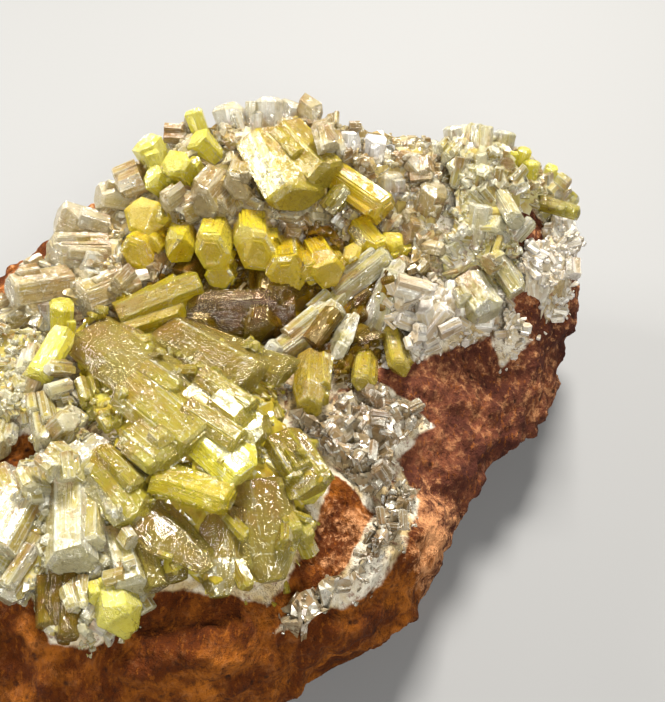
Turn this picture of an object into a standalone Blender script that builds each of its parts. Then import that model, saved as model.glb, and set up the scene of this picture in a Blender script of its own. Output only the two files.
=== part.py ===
"""Mimetite specimen: honey and lemon yellow hexagonal crystals grown over a lump of rusty limonite.

The rock lies on the flat cut under it. Clusters of prisms and crusts of fine crystals are seated on its
upper side. Units are metres, +Z is up, and the origin is the middle of the flat cut.
"""

import math
from dataclasses import dataclass

import bmesh
import bpy
from mathutils import Matrix, Vector, geometry, noise
from mathutils.bvhtree import BVHTree

MM = 0.001
GAP = 0.32 * MM  # between two pieces that touch
CLEARANCE = 1.15 * GAP  # how far a rough skin is moved out to leave the gap

# ---------------------------------------------------------------- the rock

# The widest line round the rock, seen from above, in millimetres.
ROCK_OUTLINE = (
    (32.5, 15.0), (31.5, 22.5), (26.5, 28.0), (16.0, 30.5), (4.0, 31.5), (-7.0, 31.5), (-15.5, 28.5),
    (-22.5, 23.0), (-28.5, 15.5), (-32.0, 6.0), (-32.5, -6.0), (-30.0, -17.0), (-25.0, -26.0), (-16.0, -31.0),
    (-5.0, -29.5), (4.0, -25.0), (12.0, -20.5), (18.5, -14.5), (20.5, -7.0), (24.5, 1.0), (30.0, 7.0),
)
ROCK_CENTRE = (0.0, 0.0)
WAIST_Z = 8.5  # height of the widest line
PLATEAU_Z = 18.0  # height of the top before its swells
CROWN = 5.5  # how far in from the outline the top starts to fall
UNDERCUT = 5.5  # how far in from the outline the flat cut starts
ROCK_ANGLES = 84
TOP_INSETS = (0.0, 0.2, 0.6, 1.3, 2.4, 3.8, 5.5, 8.0, 11.0, 15.0, 20.0, 25.0)
UNDER_INSETS = (0.5, 1.4, 2.6, 4.0, UNDERCUT)

# Swells and hollows of the top: x, y, radius and height, in millimetres.
SWELLS = (
    (-7.0, 25.0, 9.0, 6.0),  # back ridge, left
    (6.0, 25.5, 8.5, 6.5),  # back ridge, middle
    (21.0, 22.0, 9.5, 7.0),  # back ridge, right
    (-20.0, 11.0, 8.0, 2.5),  # left flank
    (-3.0, 7.5, 6.5, -3.5),  # trough behind the fan
    (8.0, 6.0, 5.0, -1.0),
    (-15.0, 1.0, 5.0, -1.5),
    (-7.0, -7.0, 9.0, 4.0),  # hump under the fan
    (-17.0, -14.0, 8.0, 2.0),
    (24.0, 1.0, 7.5, -5.5),  # bare right shoulder
    (16.0, -9.0, 7.0, -5.5),
    (6.0, -20.0, 5.0, -2.5),
)
# Flat breaks: a point and the outward normal of each, in millimetres.
BREAKS = (
    ((23.5, 0.3, 9.0), (0.80, -0.52, 0.25)),
    ((15.0, -17.0, 8.0), (0.55, -0.78, 0.18)),
    ((-4.0, -27.5, 9.0), (0.22, -0.95, 0.18)),
    ((-30.5, 2.0, 8.0), (-0.97, 0.05, 0.22)),
    ((-14.0, 28.0, 9.0), (-0.42, 0.88, 0.20)),
    ((14.0, 28.5, 9.0), (0.30, 0.94, 0.12)),
)
BREAK_FLATNESS = 0.75  # the share of the way that a break pulls the rock back to its plane
ROCK_VOXEL = 1.25  # size of the even mesh that the breaks and the roughness are worked into
ROCK_TRIANGLES = 1620
BASE_CUT_Z = 0.7  # height of the flat cut before the rock is stood on it

# Outlines of beds of fine crystals, seen from above, in millimetres.
BED_HEIGHT = 1.9  # mm, to the tips of the fine crystals
BED_MARGIN = 0.45  # mm, off each side of a bed's outline
BED_LOW, BED_HIGH = 5 * MM, 40 * MM  # heights that a bed's sides are cut between
BED_TRIANGLES = 560  # of the raised skin that all the beds are cut from
LEFT_BED = ((-25, 5), (-22.5, 11), (-18, 17.5), (-13.5, 22.5), (-10, 20), (-7, 16), (-12, 10), (-19, 5))
BACK_BED = (
    (-13.5, 22.5), (-10, 26.5), (-6, 28), (1, 29), (5, 27), (6, 22), (6, 16), (-2, 16), (-7, 16), (-10, 20),
)
RIDGE_BED = ((5, 27), (10, 25.5), (16, 25.5), (17, 19), (16, 12), (12, 11), (6, 16), (6, 22))
RIGHT_BED = ((16, 25.5), (20, 26), (26, 23.5), (29, 21), (24, 15), (23, 11), (17, 10), (16, 12), (17, 19))
RIM_BED = ((24, 15), (29, 21), (30.5, 18), (29, 12.5), (26, 8.5), (22, 5.5), (21, 8), (23, 11))
TONGUE_BED = ((12, 11), (16, 12), (17, 10), (23, 11), (21, 8), (17, 5.5), (14, 3.5), (10, 2.5))
VALLEY_BED = ((-12, 10), (-7, 16), (-2, 16), (6, 16), (12, 11), (10, 2.5), (6, -1), (2, 6), (-8, 7))
CENTRE_BED = ((2, 6), (6, -1), (10, 1), (15, -2), (12, -5), (10, -12), (6, -9), (2, -5))
FAN_BED = (
    (-19, 5), (-12, 10), (-8, 7), (2, 6), (2, -5), (6, -9), (4, -16), (1, -20.5), (-8, -20), (-9, -12),
    (-14, -7),
)
FRONT_BED = (
    (-20, -13), (-19, -10), (-14, -7), (-9, -12), (-8, -20), (-9, -23), (-12, -24.5), (-15, -24), (-18, -19),
)
WEST_BED = ((-25, 5), (-19, 5), (-14, -7), (-19, -10), (-18.5, -6), (-24, -4))
VEIN_BED = ((1.5, -22.5), (3.5, -20), (7, -17), (9.5, -12), (12, -6), (13.5, -9), (12, -15), (8, -19))
BEDS = (
    LEFT_BED, BACK_BED, RIDGE_BED, RIGHT_BED, RIM_BED, TONGUE_BED, VALLEY_BED, CENTRE_BED, FAN_BED, FRONT_BED,
    WEST_BED, VEIN_BED,
)
UNDER_BEDS = 0.15  # the share of its roughness that the rock has under a bed

INSET_RADIUS = 30.0  # mm, the radius at which the insets above are true
# Steps along the outline and their weights in its rounding.
ROUNDING = ((-2, 0.12), (-1, 0.24), (0, 0.28), (1, 0.24), (2, 0.12))
LUMP_SIZE, LUMP_HEIGHT = 13.0, 1.15  # mm, the broad lumps of the skin
KNOB_SIZE, KNOB_HEIGHT, KNOB_LEVEL = 5.5, 0.75, 0.45  # mm, the small knobs, and the level they rise from
CALM_HEIGHT, CALM_RISE = 1.2, 3.0  # mm over the cut that stays smooth, and over which the roughness comes in
FAR = 80.0  # mm, farther than any side of the rock


def outline_radius(angle):
    """How far the rock's outline is from its centre in one direction, in millimetres."""
    reach = Vector((math.cos(angle), math.sin(angle))) * FAR
    centre = Vector(ROCK_CENTRE)
    best = 0.0
    for a, b in zip(ROCK_OUTLINE, ROCK_OUTLINE[1:] + ROCK_OUTLINE[:1]):
        hit = geometry.intersect_line_line_2d(centre, centre + reach, Vector(a), Vector(b))
        if hit:
            best = max(best, (hit - centre).length)
    return best


def smooth_radii(count):
    """The outline's radii at equal angles, with its corners rounded."""
    sharp = [outline_radius(2 * math.pi * i / count) for i in range(count)]
    return [sum(sharp[(i + step) % count] * share for step, share in ROUNDING) for i in range(count)]


def top_height(x, y):
    """Height of the top over the flat cut, before its roughness, in millimetres."""
    swell = sum(h * math.exp(-((x - sx) ** 2 + (y - sy) ** 2) / (r * r)) for sx, sy, r, h in SWELLS)
    return PLATEAU_Z + swell


def rock_shell():
    """The rock's smooth form: rings of points over the top, round the waist and under to the flat cut."""
    bm = bmesh.new()
    radii = smooth_radii(ROCK_ANGLES)

    def ring(inset, height_at):
        points = []
        for i, radius in enumerate(radii):
            angle = 2 * math.pi * i / ROCK_ANGLES
            reach = radius - inset * radius / INSET_RADIUS
            x, y = ROCK_CENTRE[0] + reach * math.cos(angle), ROCK_CENTRE[1] + reach * math.sin(angle)
            points.append(bm.verts.new((x, y, height_at(x, y))))
        return points

    def crown_height(inset):
        share = math.sqrt(1 - (1 - min(inset / CROWN, 1)) ** 2)
        return lambda x, y: WAIST_Z + (top_height(x, y) - WAIST_Z) * share

    def under_height(inset):
        share = math.sqrt(max(0.0, 1 - (inset / UNDERCUT) ** 2))
        return lambda x, y: WAIST_Z * share

    rings = [ring(inset, under_height(inset)) for inset in reversed(UNDER_INSETS)]
    rings += [ring(inset, crown_height(inset)) for inset in TOP_INSETS]
    for low, high in zip(rings, rings[1:]):
        for i in range(ROCK_ANGLES):
            j = (i + 1) % ROCK_ANGLES
            bm.faces.new((low[i], low[j], high[j], high[i]))
    bm.faces.new(list(reversed(rings[0])))
    crown = bm.verts.new((*ROCK_CENTRE, top_height(*ROCK_CENTRE)))
    for i in range(ROCK_ANGLES):
        bm.faces.new((rings[-1][i], rings[-1][(i + 1) % ROCK_ANGLES], crown))
    bmesh.ops.scale(bm, vec=(MM, MM, MM), verts=bm.verts)
    return bm


def broken_flat(point):
    """Pulls a point that lies outside a flat break most of the way back to it."""
    for place, normal in BREAKS:
        outward = Vector(normal).normalized()
        over = (point - Vector(place) * MM).dot(outward)
        if over > 0:
            point = point - outward * over * BREAK_FLATNESS
    return point


def roughness(point):
    """How far the rock's skin stands out at a point: broad lumps, small knobs and pits, in metres."""
    p = point / MM
    lumps = noise.fractal(p / LUMP_SIZE, 0.9, 2.0, 3)
    knobs = noise.turbulence(p / KNOB_SIZE, 3, False)
    return (LUMP_HEIGHT * lumps + KNOB_HEIGHT * (knobs - KNOB_LEVEL)) * MM


def inside(outline, point):
    """Whether a point, seen from above, is inside an outline given in millimetres."""
    x, y = point.x / MM, point.y / MM
    crossings = 0
    for (ax, ay), (bx, by) in zip(outline, outline[1:] + outline[:1]):
        if (ay > y) != (by > y) and x < ax + (y - ay) / (by - ay) * (bx - ax):
            crossings += 1
    return crossings % 2 == 1


def bareness(point):
    """The share of its roughness that the skin has at a point: little under the beds of crystals."""
    covered = point.z > WAIST_Z * MM and any(inside(bed, point) for bed in BEDS)
    return UNDER_BEDS if covered else 1.0


def off_the_cut(point):
    """The share of its roughness that the skin has at a point: none next to the flat cut."""
    return min(max((point.z / MM - CALM_HEIGHT) / CALM_RISE, 0.0), 1.0)


def lift_of(point, reach):
    """How far a point of the smooth skin is moved out, in metres."""
    return (roughness(point) * bareness(point) + reach) * off_the_cut(point)


def rough_rock(bm, reach, triangles):
    """The rock with its breaks, lumps and flat cut, its skin raised by a reach, as even triangles."""
    shell = new_object("rock_shell", bm)
    remesh = shell.modifiers.new("even", "REMESH")
    remesh.mode = "VOXEL"
    remesh.voxel_size = ROCK_VOXEL * MM
    even = applied(shell)
    even.normal_update()
    for vert in even.verts:
        vert.co = broken_flat(vert.co)
    even.normal_update()
    moves = [(vert, vert.normal * lift_of(vert.co, reach)) for vert in even.verts]
    for vert, move in moves:
        vert.co += move
    shell = new_object("rock_rough", even)
    thin = shell.modifiers.new("thin", "DECIMATE")
    thin.ratio = triangles / (2 * len(shell.data.polygons))
    rough = applied(shell)
    cut_flat(rough, BASE_CUT_Z * MM)
    return rough


def cut_flat(bm, height):
    """Cuts a closed mesh off flat at a height, closes the cut and stands it on z = 0."""
    everything = bm.verts[:] + bm.edges[:] + bm.faces[:]
    cut = bmesh.ops.bisect_plane(
        bm, geom=everything, plane_co=(0, 0, height), plane_no=(0, 0, 1), clear_inner=True
    )
    edges = [e for e in cut["geom_cut"] if isinstance(e, bmesh.types.BMEdge)]
    bmesh.ops.edgeloop_fill(bm, edges=edges)
    bmesh.ops.translate(bm, vec=(0, 0, -height), verts=bm.verts)
    bmesh.ops.recalc_face_normals(bm, faces=bm.faces)
    bmesh.ops.triangulate(bm, faces=bm.faces)


# ---------------------------------------------------------------- finishes

# Each finish is a base colour, a roughness and a metallic value.
LIMONITE = ((0.33, 0.13, 0.055), 0.92, 0.0)
LEMON = ((0.80, 0.74, 0.08), 0.25, 0.0)
YELLOW = ((0.62, 0.50, 0.03), 0.2, 0.0)
HONEY = ((0.58, 0.36, 0.05), 0.2, 0.0)
STRAW = ((0.62, 0.55, 0.25), 0.2, 0.0)
OLIVE = ((0.45, 0.42, 0.12), 0.2, 0.0)
SMOKY = ((0.42, 0.33, 0.18), 0.15, 0.0)
FROST = ((0.74, 0.74, 0.60), 0.35, 0.0)
DRUSE = ((0.60, 0.52, 0.30), 0.4, 0.0)
CHALK = ((0.78, 0.78, 0.70), 0.6, 0.0)

# ---------------------------------------------------------------- the crystals

# A form is the outline of half a crystal: shares of its length and of its radius, root first.
FORMS = {
    "prism": ((0.0, 0.95), (0.84, 1.0), (1.0, 0.66)),
    "stub": ((0.0, 0.85), (0.4, 1.0), (0.78, 0.98), (1.0, 0.62)),
    "barrel": ((0.0, 0.7), (0.3, 1.0), (0.75, 1.0), (1.0, 0.66)),
    "blade": ((0.0, 0.8), (0.6, 1.0), (1.0, 0.4)),
}
SIDES = 6


@dataclass(frozen=True)
class Crystal:
    """One hexagonal crystal: its root on the rock, the way it points, its size and its form."""

    x: float  # of the root, in millimetres
    y: float
    lift: float  # of the root over the rock
    azimuth: float  # the way it points, in degrees: 0 is +X and 90 is +Y
    lean: float  # away from straight up, in degrees
    width: float
    length: float
    form: str = "prism"
    flat: float = 1.0  # thickness as a share of the width
    roll: float = 30.0  # turn about its own length, in degrees


@dataclass(frozen=True)
class Cluster:
    """Crystals grown together, with the bed of fine crystals they stand in."""

    name: str
    finish: tuple
    crystals: tuple
    bed: tuple = ()


# The crystals that stand out come first, and the beds between them are cut clear of them.
CLUSTERS = (
    Cluster("great_prism", OLIVE, (
        Crystal(-0.5, 24.0, 1.0, 294, 96, 6.8, 7.8, flat=0.85, roll=75),
        Crystal(1.5, 24.5, 1.2, 305, 94, 4.4, 7.0, flat=0.9, roll=70),
    )),
    Cluster("honey_row", HONEY, (
        Crystal(-5.0, 16.0, 1.2, 268, 70, 4.2, 4.2),
        Crystal(-1.5, 16.5, 1.2, 275, 72, 4.6, 4.8, roll=25),
        Crystal(-4.5, 14.2, 0.6, 268, 70, 3.2, 3.2),
        Crystal(1.5, 14.8, 0.7, 275, 70, 4.6, 4.8),
        Crystal(4.5, 14.6, 0.6, 285, 70, 4.0, 4.4, roll=35),
        Crystal(-11.0, 17.5, 0.5, 245, 40, 4.4, 2.8, "stub"),
        Crystal(-8.2, 16.0, 0.7, 266, 68, 3.8, 3.6),
        Crystal(-11.5, 15.5, 0.6, 255, 66, 3.6, 3.4),
    )),
    Cluster("centre_prism", YELLOW, (
        Crystal(-13.5, 6.2, 1.6, 27, 86, 3.4, 8.0, roll=0),
        Crystal(-12.5, 7.7, 1.2, 35, 85, 2.2, 5.0, roll=10),
    )),
    Cluster("lemon_bud", LEMON, (
        Crystal(-11.0, 23.0, 0.4, 160, 20, 3.3, 3.2, "stub"),
        Crystal(-8.0, 21.0, 0.6, 235, 25, 3.1, 3.2, "stub", roll=0),
        Crystal(-10.0, 20.5, 0.2, 210, 30, 2.6, 2.8, "stub"),
        Crystal(-5.5, 23.0, 0.2, 185, 30, 2.8, 3.0, "stub"),
        Crystal(-6.5, 25.0, 0.0, 125, 35, 2.1, 3.4, "stub"),
    )),
    Cluster("ridge_prism", HONEY, (
        Crystal(6.0, 20.5, 1.0, 318, 95, 3.4, 6.6),
        Crystal(8.5, 16.5, 0.6, 300, 90, 3.0, 4.0),
    )),
    Cluster("striated_stub", STRAW, (Crystal(5.5, 17.0, 2.2, 35, 50, 2.4, 2.8),)),
    Cluster("orange_bud", HONEY, (
        Crystal(8.5, 13.5, 0.2, 225, 25, 2.2, 2.6, "stub"),
        Crystal(11.5, 13.5, 0.3, 60, 10, 3.0, 2.6, "stub"),
    )),
    Cluster("white_blade", FROST, (
        Crystal(9.0, 7.0, 0.2, 45, 40, 3.4, 7.4, "blade", 0.42, 70),
        Crystal(5.5, 3.0, 0.2, 45, 45, 3.0, 5.4, "blade", 0.42, 70),
    )),
    Cluster("barrel_crystal", OLIVE, (Crystal(4.0, 2.0, 1.6, 270, 84, 4.0, 6.0, "barrel", roll=0),)),
    Cluster("foot_prism", OLIVE, (
        Crystal(11.5, 6.0, 0.6, 275, 78, 2.4, 5.0),
        Crystal(9.0, 3.5, 0.4, 265, 70, 2.4, 4.4),
    )),
    Cluster("window_prism", FROST, (Crystal(-0.5, 1.5, 1.0, 35, 45, 1.8, 2.8, roll=0),)),
    Cluster("side_prism", LEMON, (
        Crystal(-18.0, 4.0, 1.8, 255, 88, 2.6, 5.4),
        Crystal(-18.5, 5.0, 0.6, 80, 30, 3.0, 2.6, "stub"),
        Crystal(-16.0, 4.5, 0.3, 25, 45, 1.7, 1.8, "stub"),
    )),
    Cluster("lone_bud", LEMON, (Crystal(4.5, -10.0, 0.4, 255, 65, 3.0, 2.6, "stub"),)),
    Cluster("front_bud", LEMON, (Crystal(-10.5, -20.5, 0.6, 290, 75, 4.0, 3.4, "stub"),)),
    Cluster("pale_block", FROST, (Crystal(18.5, 11.0, 0.8, 295, 100, 4.0, 4.0, "stub", roll=0),)),
    Cluster("striped_prism", FROST, (Crystal(21.5, 12.5, 1.0, 300, 108, 2.6, 3.6, roll=0),)),
    Cluster("rim_bud", LEMON, (
        Crystal(25.0, 20.0, 0.0, 90, 22, 2.0, 2.8, "stub"),
        Crystal(26.5, 21.5, 0.0, 55, 38, 1.9, 3.0, "stub"),
        Crystal(24.0, 21.5, 0.0, 60, 20, 2.0, 2.6, "stub"),
    )),
    Cluster("rim_block", STRAW, (Crystal(28.0, 20.0, 0.0, 35, 55, 2.0, 2.8, "stub", roll=0),)),
    Cluster("rim_prism", STRAW, (Crystal(26.0, 18.5, 0.8, 325, 80, 1.8, 3.8, roll=0),)),
    Cluster("white_tile", CHALK, (
        Crystal(7.5, 23.0, 0.0, 90, 35, 2.3, 2.2, "stub", roll=0),
        Crystal(10.0, 22.5, 0.0, 80, 35, 3.0, 2.4, "stub", roll=0),
    )),
    Cluster("fan_cluster", STRAW, (
        Crystal(-15.2, 4.5, 1.2, 310, 76, 6.4, 12.2, flat=0.5, roll=90),
        Crystal(-9.4, 5.4, 1.2, 315, 73, 5.8, 12.4, flat=0.5, roll=95),
        Crystal(-6.5, 5.0, 1.0, 325, 76, 4.8, 10.5, flat=0.6, roll=85),
        Crystal(-13.5, 0.5, 1.5, 315, 80, 4.6, 9.0, flat=0.6, roll=90),
        Crystal(-10.5, -4.5, 2.7, 315, 85, 4.8, 8.5, flat=0.55, roll=98),
        Crystal(-5.5, -5.5, 2.6, 324, 96, 5.2, 7.0, flat=0.55, roll=82),
        Crystal(-9.5, -9.0, 1.8, 315, 80, 4.0, 4.4, flat=0.6, roll=90),
        Crystal(-4.5, -9.0, 2.6, 315, 95, 4.4, 5.4, flat=0.55, roll=90),
        Crystal(-7.5, -13.0, 2.3, 340, 90, 3.8, 6.0, flat=0.65, roll=78),
        Crystal(-13.0, -11.0, 1.5, 310, 90, 4.2, 7.0, flat=0.6, roll=90),
        Crystal(-10.5, -13.5, 1.5, 315, 97, 4.2, 9.8, "blade", flat=0.4, roll=72),
        Crystal(-8.0, -15.5, 1.2, 290, 100, 4.0, 5.6, flat=0.5, roll=90),
        Crystal(-3.0, -14.5, 1.2, 275, 100, 4.4, 7.0, flat=0.5, roll=95),
        Crystal(0.0, -12.0, 1.4, 280, 102, 6.0, 8.2, "blade", flat=0.35, roll=90),
        Crystal(1.5, -7.5, 0.9, 300, 85, 4.0, 6.0, flat=0.6, roll=90),
    ), FAN_BED),
    Cluster("front_cluster", CHALK, (
        Crystal(-18.5, -13.5, 0.4, 255, 85, 4.2, 6.5),
        Crystal(-14.5, -13.0, 0.6, 280, 85, 4.0, 7.0),
        Crystal(-14.5, -18.5, 0.6, 275, 100, 3.4, 6.2),
        Crystal(-10.5, -16.5, 0.6, 290, 90, 3.2, 5.0),
        Crystal(-16.5, -17.0, 0.4, 250, 95, 3.0, 5.0),
        Crystal(-12.5, -9.5, 0.4, 240, 70, 3.0, 4.5),
    ), FRONT_BED),
    Cluster("west_cluster", FROST, (
        Crystal(-21.0, -10.5, 0.3, 300, 75, 3.6, 4.6),
        Crystal(-22.5, -4.5, 0.2, 280, 60, 3.0, 4.0),
        Crystal(-18.5, -3.5, 0.6, 290, 75, 4.0, 5.5),
    ), WEST_BED),
    Cluster("left_cluster", DRUSE, (
        Crystal(-15.5, 14.0, 0.4, 200, 70, 4.0, 5.0),
        Crystal(-18.5, 10.0, 0.3, 215, 70, 4.0, 5.5),
        Crystal(-13.5, 11.0, 0.3, 225, 75, 3.6, 5.0),
        Crystal(-16.0, 17.0, 0.3, 190, 60, 3.6, 4.5),
        Crystal(-13.0, 20.0, 0.2, 200, 60, 3.2, 4.0),
    ), LEFT_BED),
    Cluster("valley_cluster", SMOKY, (
        Crystal(2.5, 9.0, 1.2, 185, 90, 4.6, 10.0),
        Crystal(-1.0, 12.5, 0.8, 275, 85, 4.0, 7.0),
        Crystal(-5.0, 12.0, 0.8, 260, 85, 3.6, 6.0),
        Crystal(4.0, 13.0, 0.6, 230, 85, 3.4, 5.5),
        Crystal(1.0, 3.5, 0.8, 40, 82, 3.4, 7.2),
        Crystal(6.5, 10.5, 0.8, 25, 60, 3.2, 6.0),
        Crystal(3.5, 7.0, 0.5, 45, 75, 3.0, 6.0),
        Crystal(10.5, 7.0, 0.4, 60, 30, 3.0, 5.4),
    ), VALLEY_BED),
    Cluster("back_cluster", DRUSE, (
        Crystal(-5.0, 20.5, 0.5, 250, 80, 4.0, 4.0),
        Crystal(-2.5, 21.5, 0.5, 265, 75, 3.6, 3.6),
        Crystal(-7.0, 18.5, 0.4, 230, 75, 3.2, 3.2),
        Crystal(-3.5, 27.0, -0.2, 115, 40, 3.6, 3.2, "stub"),
        Crystal(-0.5, 26.5, 0.0, 90, 40, 3.8, 3.2, "stub"),
        Crystal(1.0, 27.5, 0.0, 60, 40, 3.0, 3.0, "stub"),
    ), BACK_BED),
    Cluster("ridge_cluster", DRUSE, (
        Crystal(11.5, 18.5, 0.4, 90, 30, 3.0, 2.6, "stub"),
        Crystal(15.0, 17.0, 0.2, 60, 25, 3.2, 2.8, "stub"),
    ), RIDGE_BED),
    Cluster("right_cluster", FROST, (
        Crystal(19.5, 14.0, 0.4, 80, 35, 2.6, 3.8),
        Crystal(22.0, 18.0, 0.6, 285, 88, 2.6, 3.8),
        Crystal(22.5, 14.0, 0.6, 30, 50, 1.5, 3.2),
        Crystal(22.5, 23.5, 0.0, 75, 35, 2.3, 2.6, "stub"),
        Crystal(18.0, 24.0, 0.0, 100, 35, 2.4, 2.4, "stub"),
    ), RIGHT_BED),
    Cluster("rim_crust", CHALK, (), RIM_BED),
    Cluster("tongue_crust", FROST, (), TONGUE_BED),
    Cluster("centre_crust", FROST, (), CENTRE_BED),
    Cluster("vein_crust", CHALK, (), VEIN_BED),
)
SCRAP = 0.15  # a piece cut loose that is a smaller share than this of its cluster is dropped
FLATNESS = math.radians(9.0)  # faces that meet at less than this are joined
DOUBLES = 0.002 * MM  # corners nearer than this are one


def crystal_mesh(crystal, root, extra=0.0):
    """A crystal as a closed bmesh, grown by extra metres on every side."""
    radius = crystal.width * MM / 2 + extra
    flat = crystal.flat + (1 - crystal.flat) * extra / radius
    spin = Matrix.Rotation(math.radians(crystal.roll), 2)
    bm = bmesh.new()
    rings = []
    for along, share in FORMS[crystal.form]:
        z = crystal.length * MM * along + extra * (2 * along - 1)
        reach = radius * share + extra * (1 - share)
        ring = []
        for i in range(SIDES):
            angle = 2 * math.pi * i / SIDES
            point = spin @ Vector((reach * math.cos(angle), reach * math.sin(angle) * flat))
            ring.append(bm.verts.new((point.x, point.y, z)))
        rings.append(ring)
    for low, high in zip(rings, rings[1:]):
        for i in range(SIDES):
            j = (i + 1) % SIDES
            bm.faces.new((low[i], low[j], high[j], high[i]))
    bm.faces.new(list(reversed(rings[0])))
    bm.faces.new(rings[-1])
    turn = Matrix.Rotation(math.radians(crystal.azimuth), 4, "Z")
    tilt = Matrix.Rotation(math.radians(crystal.lean), 4, "Y")
    bmesh.ops.transform(bm, matrix=Matrix.Translation(root) @ turn @ tilt, verts=bm.verts)
    bmesh.ops.recalc_face_normals(bm, faces=bm.faces)
    return bm


class Ground:
    """The finished rock, as the thing that crystals and crusts are seated on."""

    def __init__(self, rock):
        bm = bmesh.new()
        bm.from_mesh(rock.data)
        self.tree = BVHTree.FromBMesh(bm)
        bm.free()
        self.clear = skin_of(rock, CLEARANCE)

    def root(self, crystal):
        """The point over the rock that a crystal's root is at."""
        above = Vector((crystal.x, crystal.y, FAR)) * MM
        hit = self.tree.ray_cast(above, Vector((0, 0, -1)))[0]
        return hit + Vector((0, 0, crystal.lift * MM))


def skin_of(obj, reach):
    """A copy of a closed object with its skin moved out by a distance."""
    bm = bmesh.new()
    bm.from_mesh(obj.data)
    bm.normal_update()
    moves = [(vert, vert.normal * reach * vert.calc_shell_factor()) for vert in bm.verts]
    for vert, move in moves:
        vert.co += move
    return new_object("clear_" + obj.name, bm)


def grown(cluster, ground):
    """The cluster's crystals grown by the gap, for cutting what is next to them."""
    return [new_object("cutter", crystal_mesh(c, ground.root(c), GAP)) for c in cluster.crystals]


def boolean(obj, other, operation):
    """Joins, cuts or overlaps two closed objects. The first takes the result."""
    step = obj.modifiers.new("boolean", "BOOLEAN")
    step.operation = operation
    step.object = other
    bm = applied_mesh(obj)
    obj.modifiers.clear()
    bm.to_mesh(obj.data)
    bm.free()


def box_of(obj):
    """The lowest and highest corners of an object's mesh."""
    points = [v.co for v in obj.data.vertices]
    return [min(p[i] for p in points) for i in range(3)], [max(p[i] for p in points) for i in range(3)]


def boxes_meet(one, other):
    """Whether the boxes of two objects overlap."""
    (low_a, high_a), (low_b, high_b) = box_of(one), box_of(other)
    return all(low_a[i] < high_b[i] and low_b[i] < high_a[i] for i in range(3))


def separate_bodies(bm):
    """The sets of joined vertices in a bmesh."""
    left, bodies = set(bm.verts), []
    while left:
        body, edge = set(), [left.pop()]
        while edge:
            vert = edge.pop()
            body.add(vert)
            for link in vert.link_edges:
                near = link.other_vert(vert)
                if near in left:
                    left.remove(near)
                    edge.append(near)
        bodies.append(body)
    return bodies


def split_bodies(obj, name):
    """Splits an object into its separate bodies, largest first, and drops its scraps."""
    bm = bmesh.new()
    bm.from_mesh(obj.data)
    bpy.data.objects.remove(obj)
    bmesh.ops.remove_doubles(bm, verts=bm.verts, dist=DOUBLES)
    bmesh.ops.dissolve_limit(bm, angle_limit=FLATNESS, verts=bm.verts, edges=bm.edges)
    bmesh.ops.triangulate(bm, faces=bm.faces)
    bodies = sorted(separate_bodies(bm), key=body_volume, reverse=True)
    bodies = [body for body in bodies if body_volume(body) > SCRAP * body_volume(bodies[0])]
    ends = [""] if len(bodies) == 1 else [f"_{i + 1}" for i in range(len(bodies))]
    made = []
    for body, end in zip(bodies, ends):
        bm.verts.index_update()
        order = {vert.index: i for i, vert in enumerate(sorted(body, key=lambda v: v.index))}
        corners = [vert.co for vert in sorted(body, key=lambda v: v.index)]
        faces = {face for vert in body for face in vert.link_faces}
        loops = [[order[v.index] for v in face.verts] for face in sorted(faces, key=lambda f: f.index)]
        mesh = bpy.data.meshes.new(name + end)
        mesh.from_pydata(corners, [], loops)
        made.append(bpy.data.objects.new(name + end, mesh))
        bpy.context.scene.collection.objects.link(made[-1])
    bm.free()
    return made


def body_volume(body):
    """The volume inside a closed set of vertices."""
    faces = {face for vert in body for face in vert.link_faces}
    total = 0.0
    for face in faces:
        corners = [vert.co for vert in face.verts]
        for b, c in zip(corners[1:], corners[2:]):
            total += corners[0].dot(b.cross(c)) / 6
    return abs(total)


def plant(cluster, ground, skin, planted):
    """Makes a cluster's solids: its bed and crystals joined, clear of its neighbours and of the rock."""
    seeds = [new_object("crystal", crystal_mesh(c, ground.root(c))) for c in cluster.crystals]
    cutters = grown(cluster, ground)
    if cluster.bed:
        seeds.insert(0, new_object("bed", prism_over(shrunk(cluster.bed, BED_MARGIN), BED_LOW, BED_HIGH)))
        boolean(seeds[0], skin, "INTERSECT")
        cutters.append(skin_of(seeds[0], CLEARANCE))
    solid = seeds[0]
    for seed in seeds[1:]:
        boolean(solid, seed, "UNION")
        bpy.data.objects.remove(seed)
    for cutter in planted:
        if boxes_meet(solid, cutter):
            boolean(solid, cutter, "DIFFERENCE")
    boolean(solid, ground.clear, "DIFFERENCE")
    planted.extend(cutters)
    return split_bodies(solid, cluster.name)


def shrunk(outline, margin):
    """A closed outline, listed clockwise or not, moved in by a margin."""
    points = [Vector(p) for p in outline]
    area = sum(a.x * b.y - b.x * a.y for a, b in zip(points, points[1:] + points[:1]))
    side = 1 if area > 0 else -1
    inner = []
    for before, here, after in zip(points[-1:] + points[:-1], points, points[1:] + points[:1]):
        one, two = (here - before).normalized(), (after - here).normalized()
        normal_one, normal_two = Vector((-one.y, one.x)) * side, Vector((-two.y, two.x)) * side
        middle = (normal_one + normal_two).normalized()
        inner.append(here + middle * margin / max(0.5, middle.dot(normal_one)))
    return inner


def prism_over(outline, low, high):
    """A straight-sided solid over an outline, from one height to another."""
    bm = bmesh.new()
    face = bm.faces.new([bm.verts.new((p.x * MM, p.y * MM, low)) for p in outline])
    top = bmesh.ops.extrude_face_region(bm, geom=[face])
    verts = [v for v in top["geom"] if isinstance(v, bmesh.types.BMVert)]
    bmesh.ops.translate(bm, vec=(0, 0, high - low), verts=verts)
    bmesh.ops.recalc_face_normals(bm, faces=bm.faces)
    bmesh.ops.triangulate(bm, faces=bm.faces)
    return bm


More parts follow.
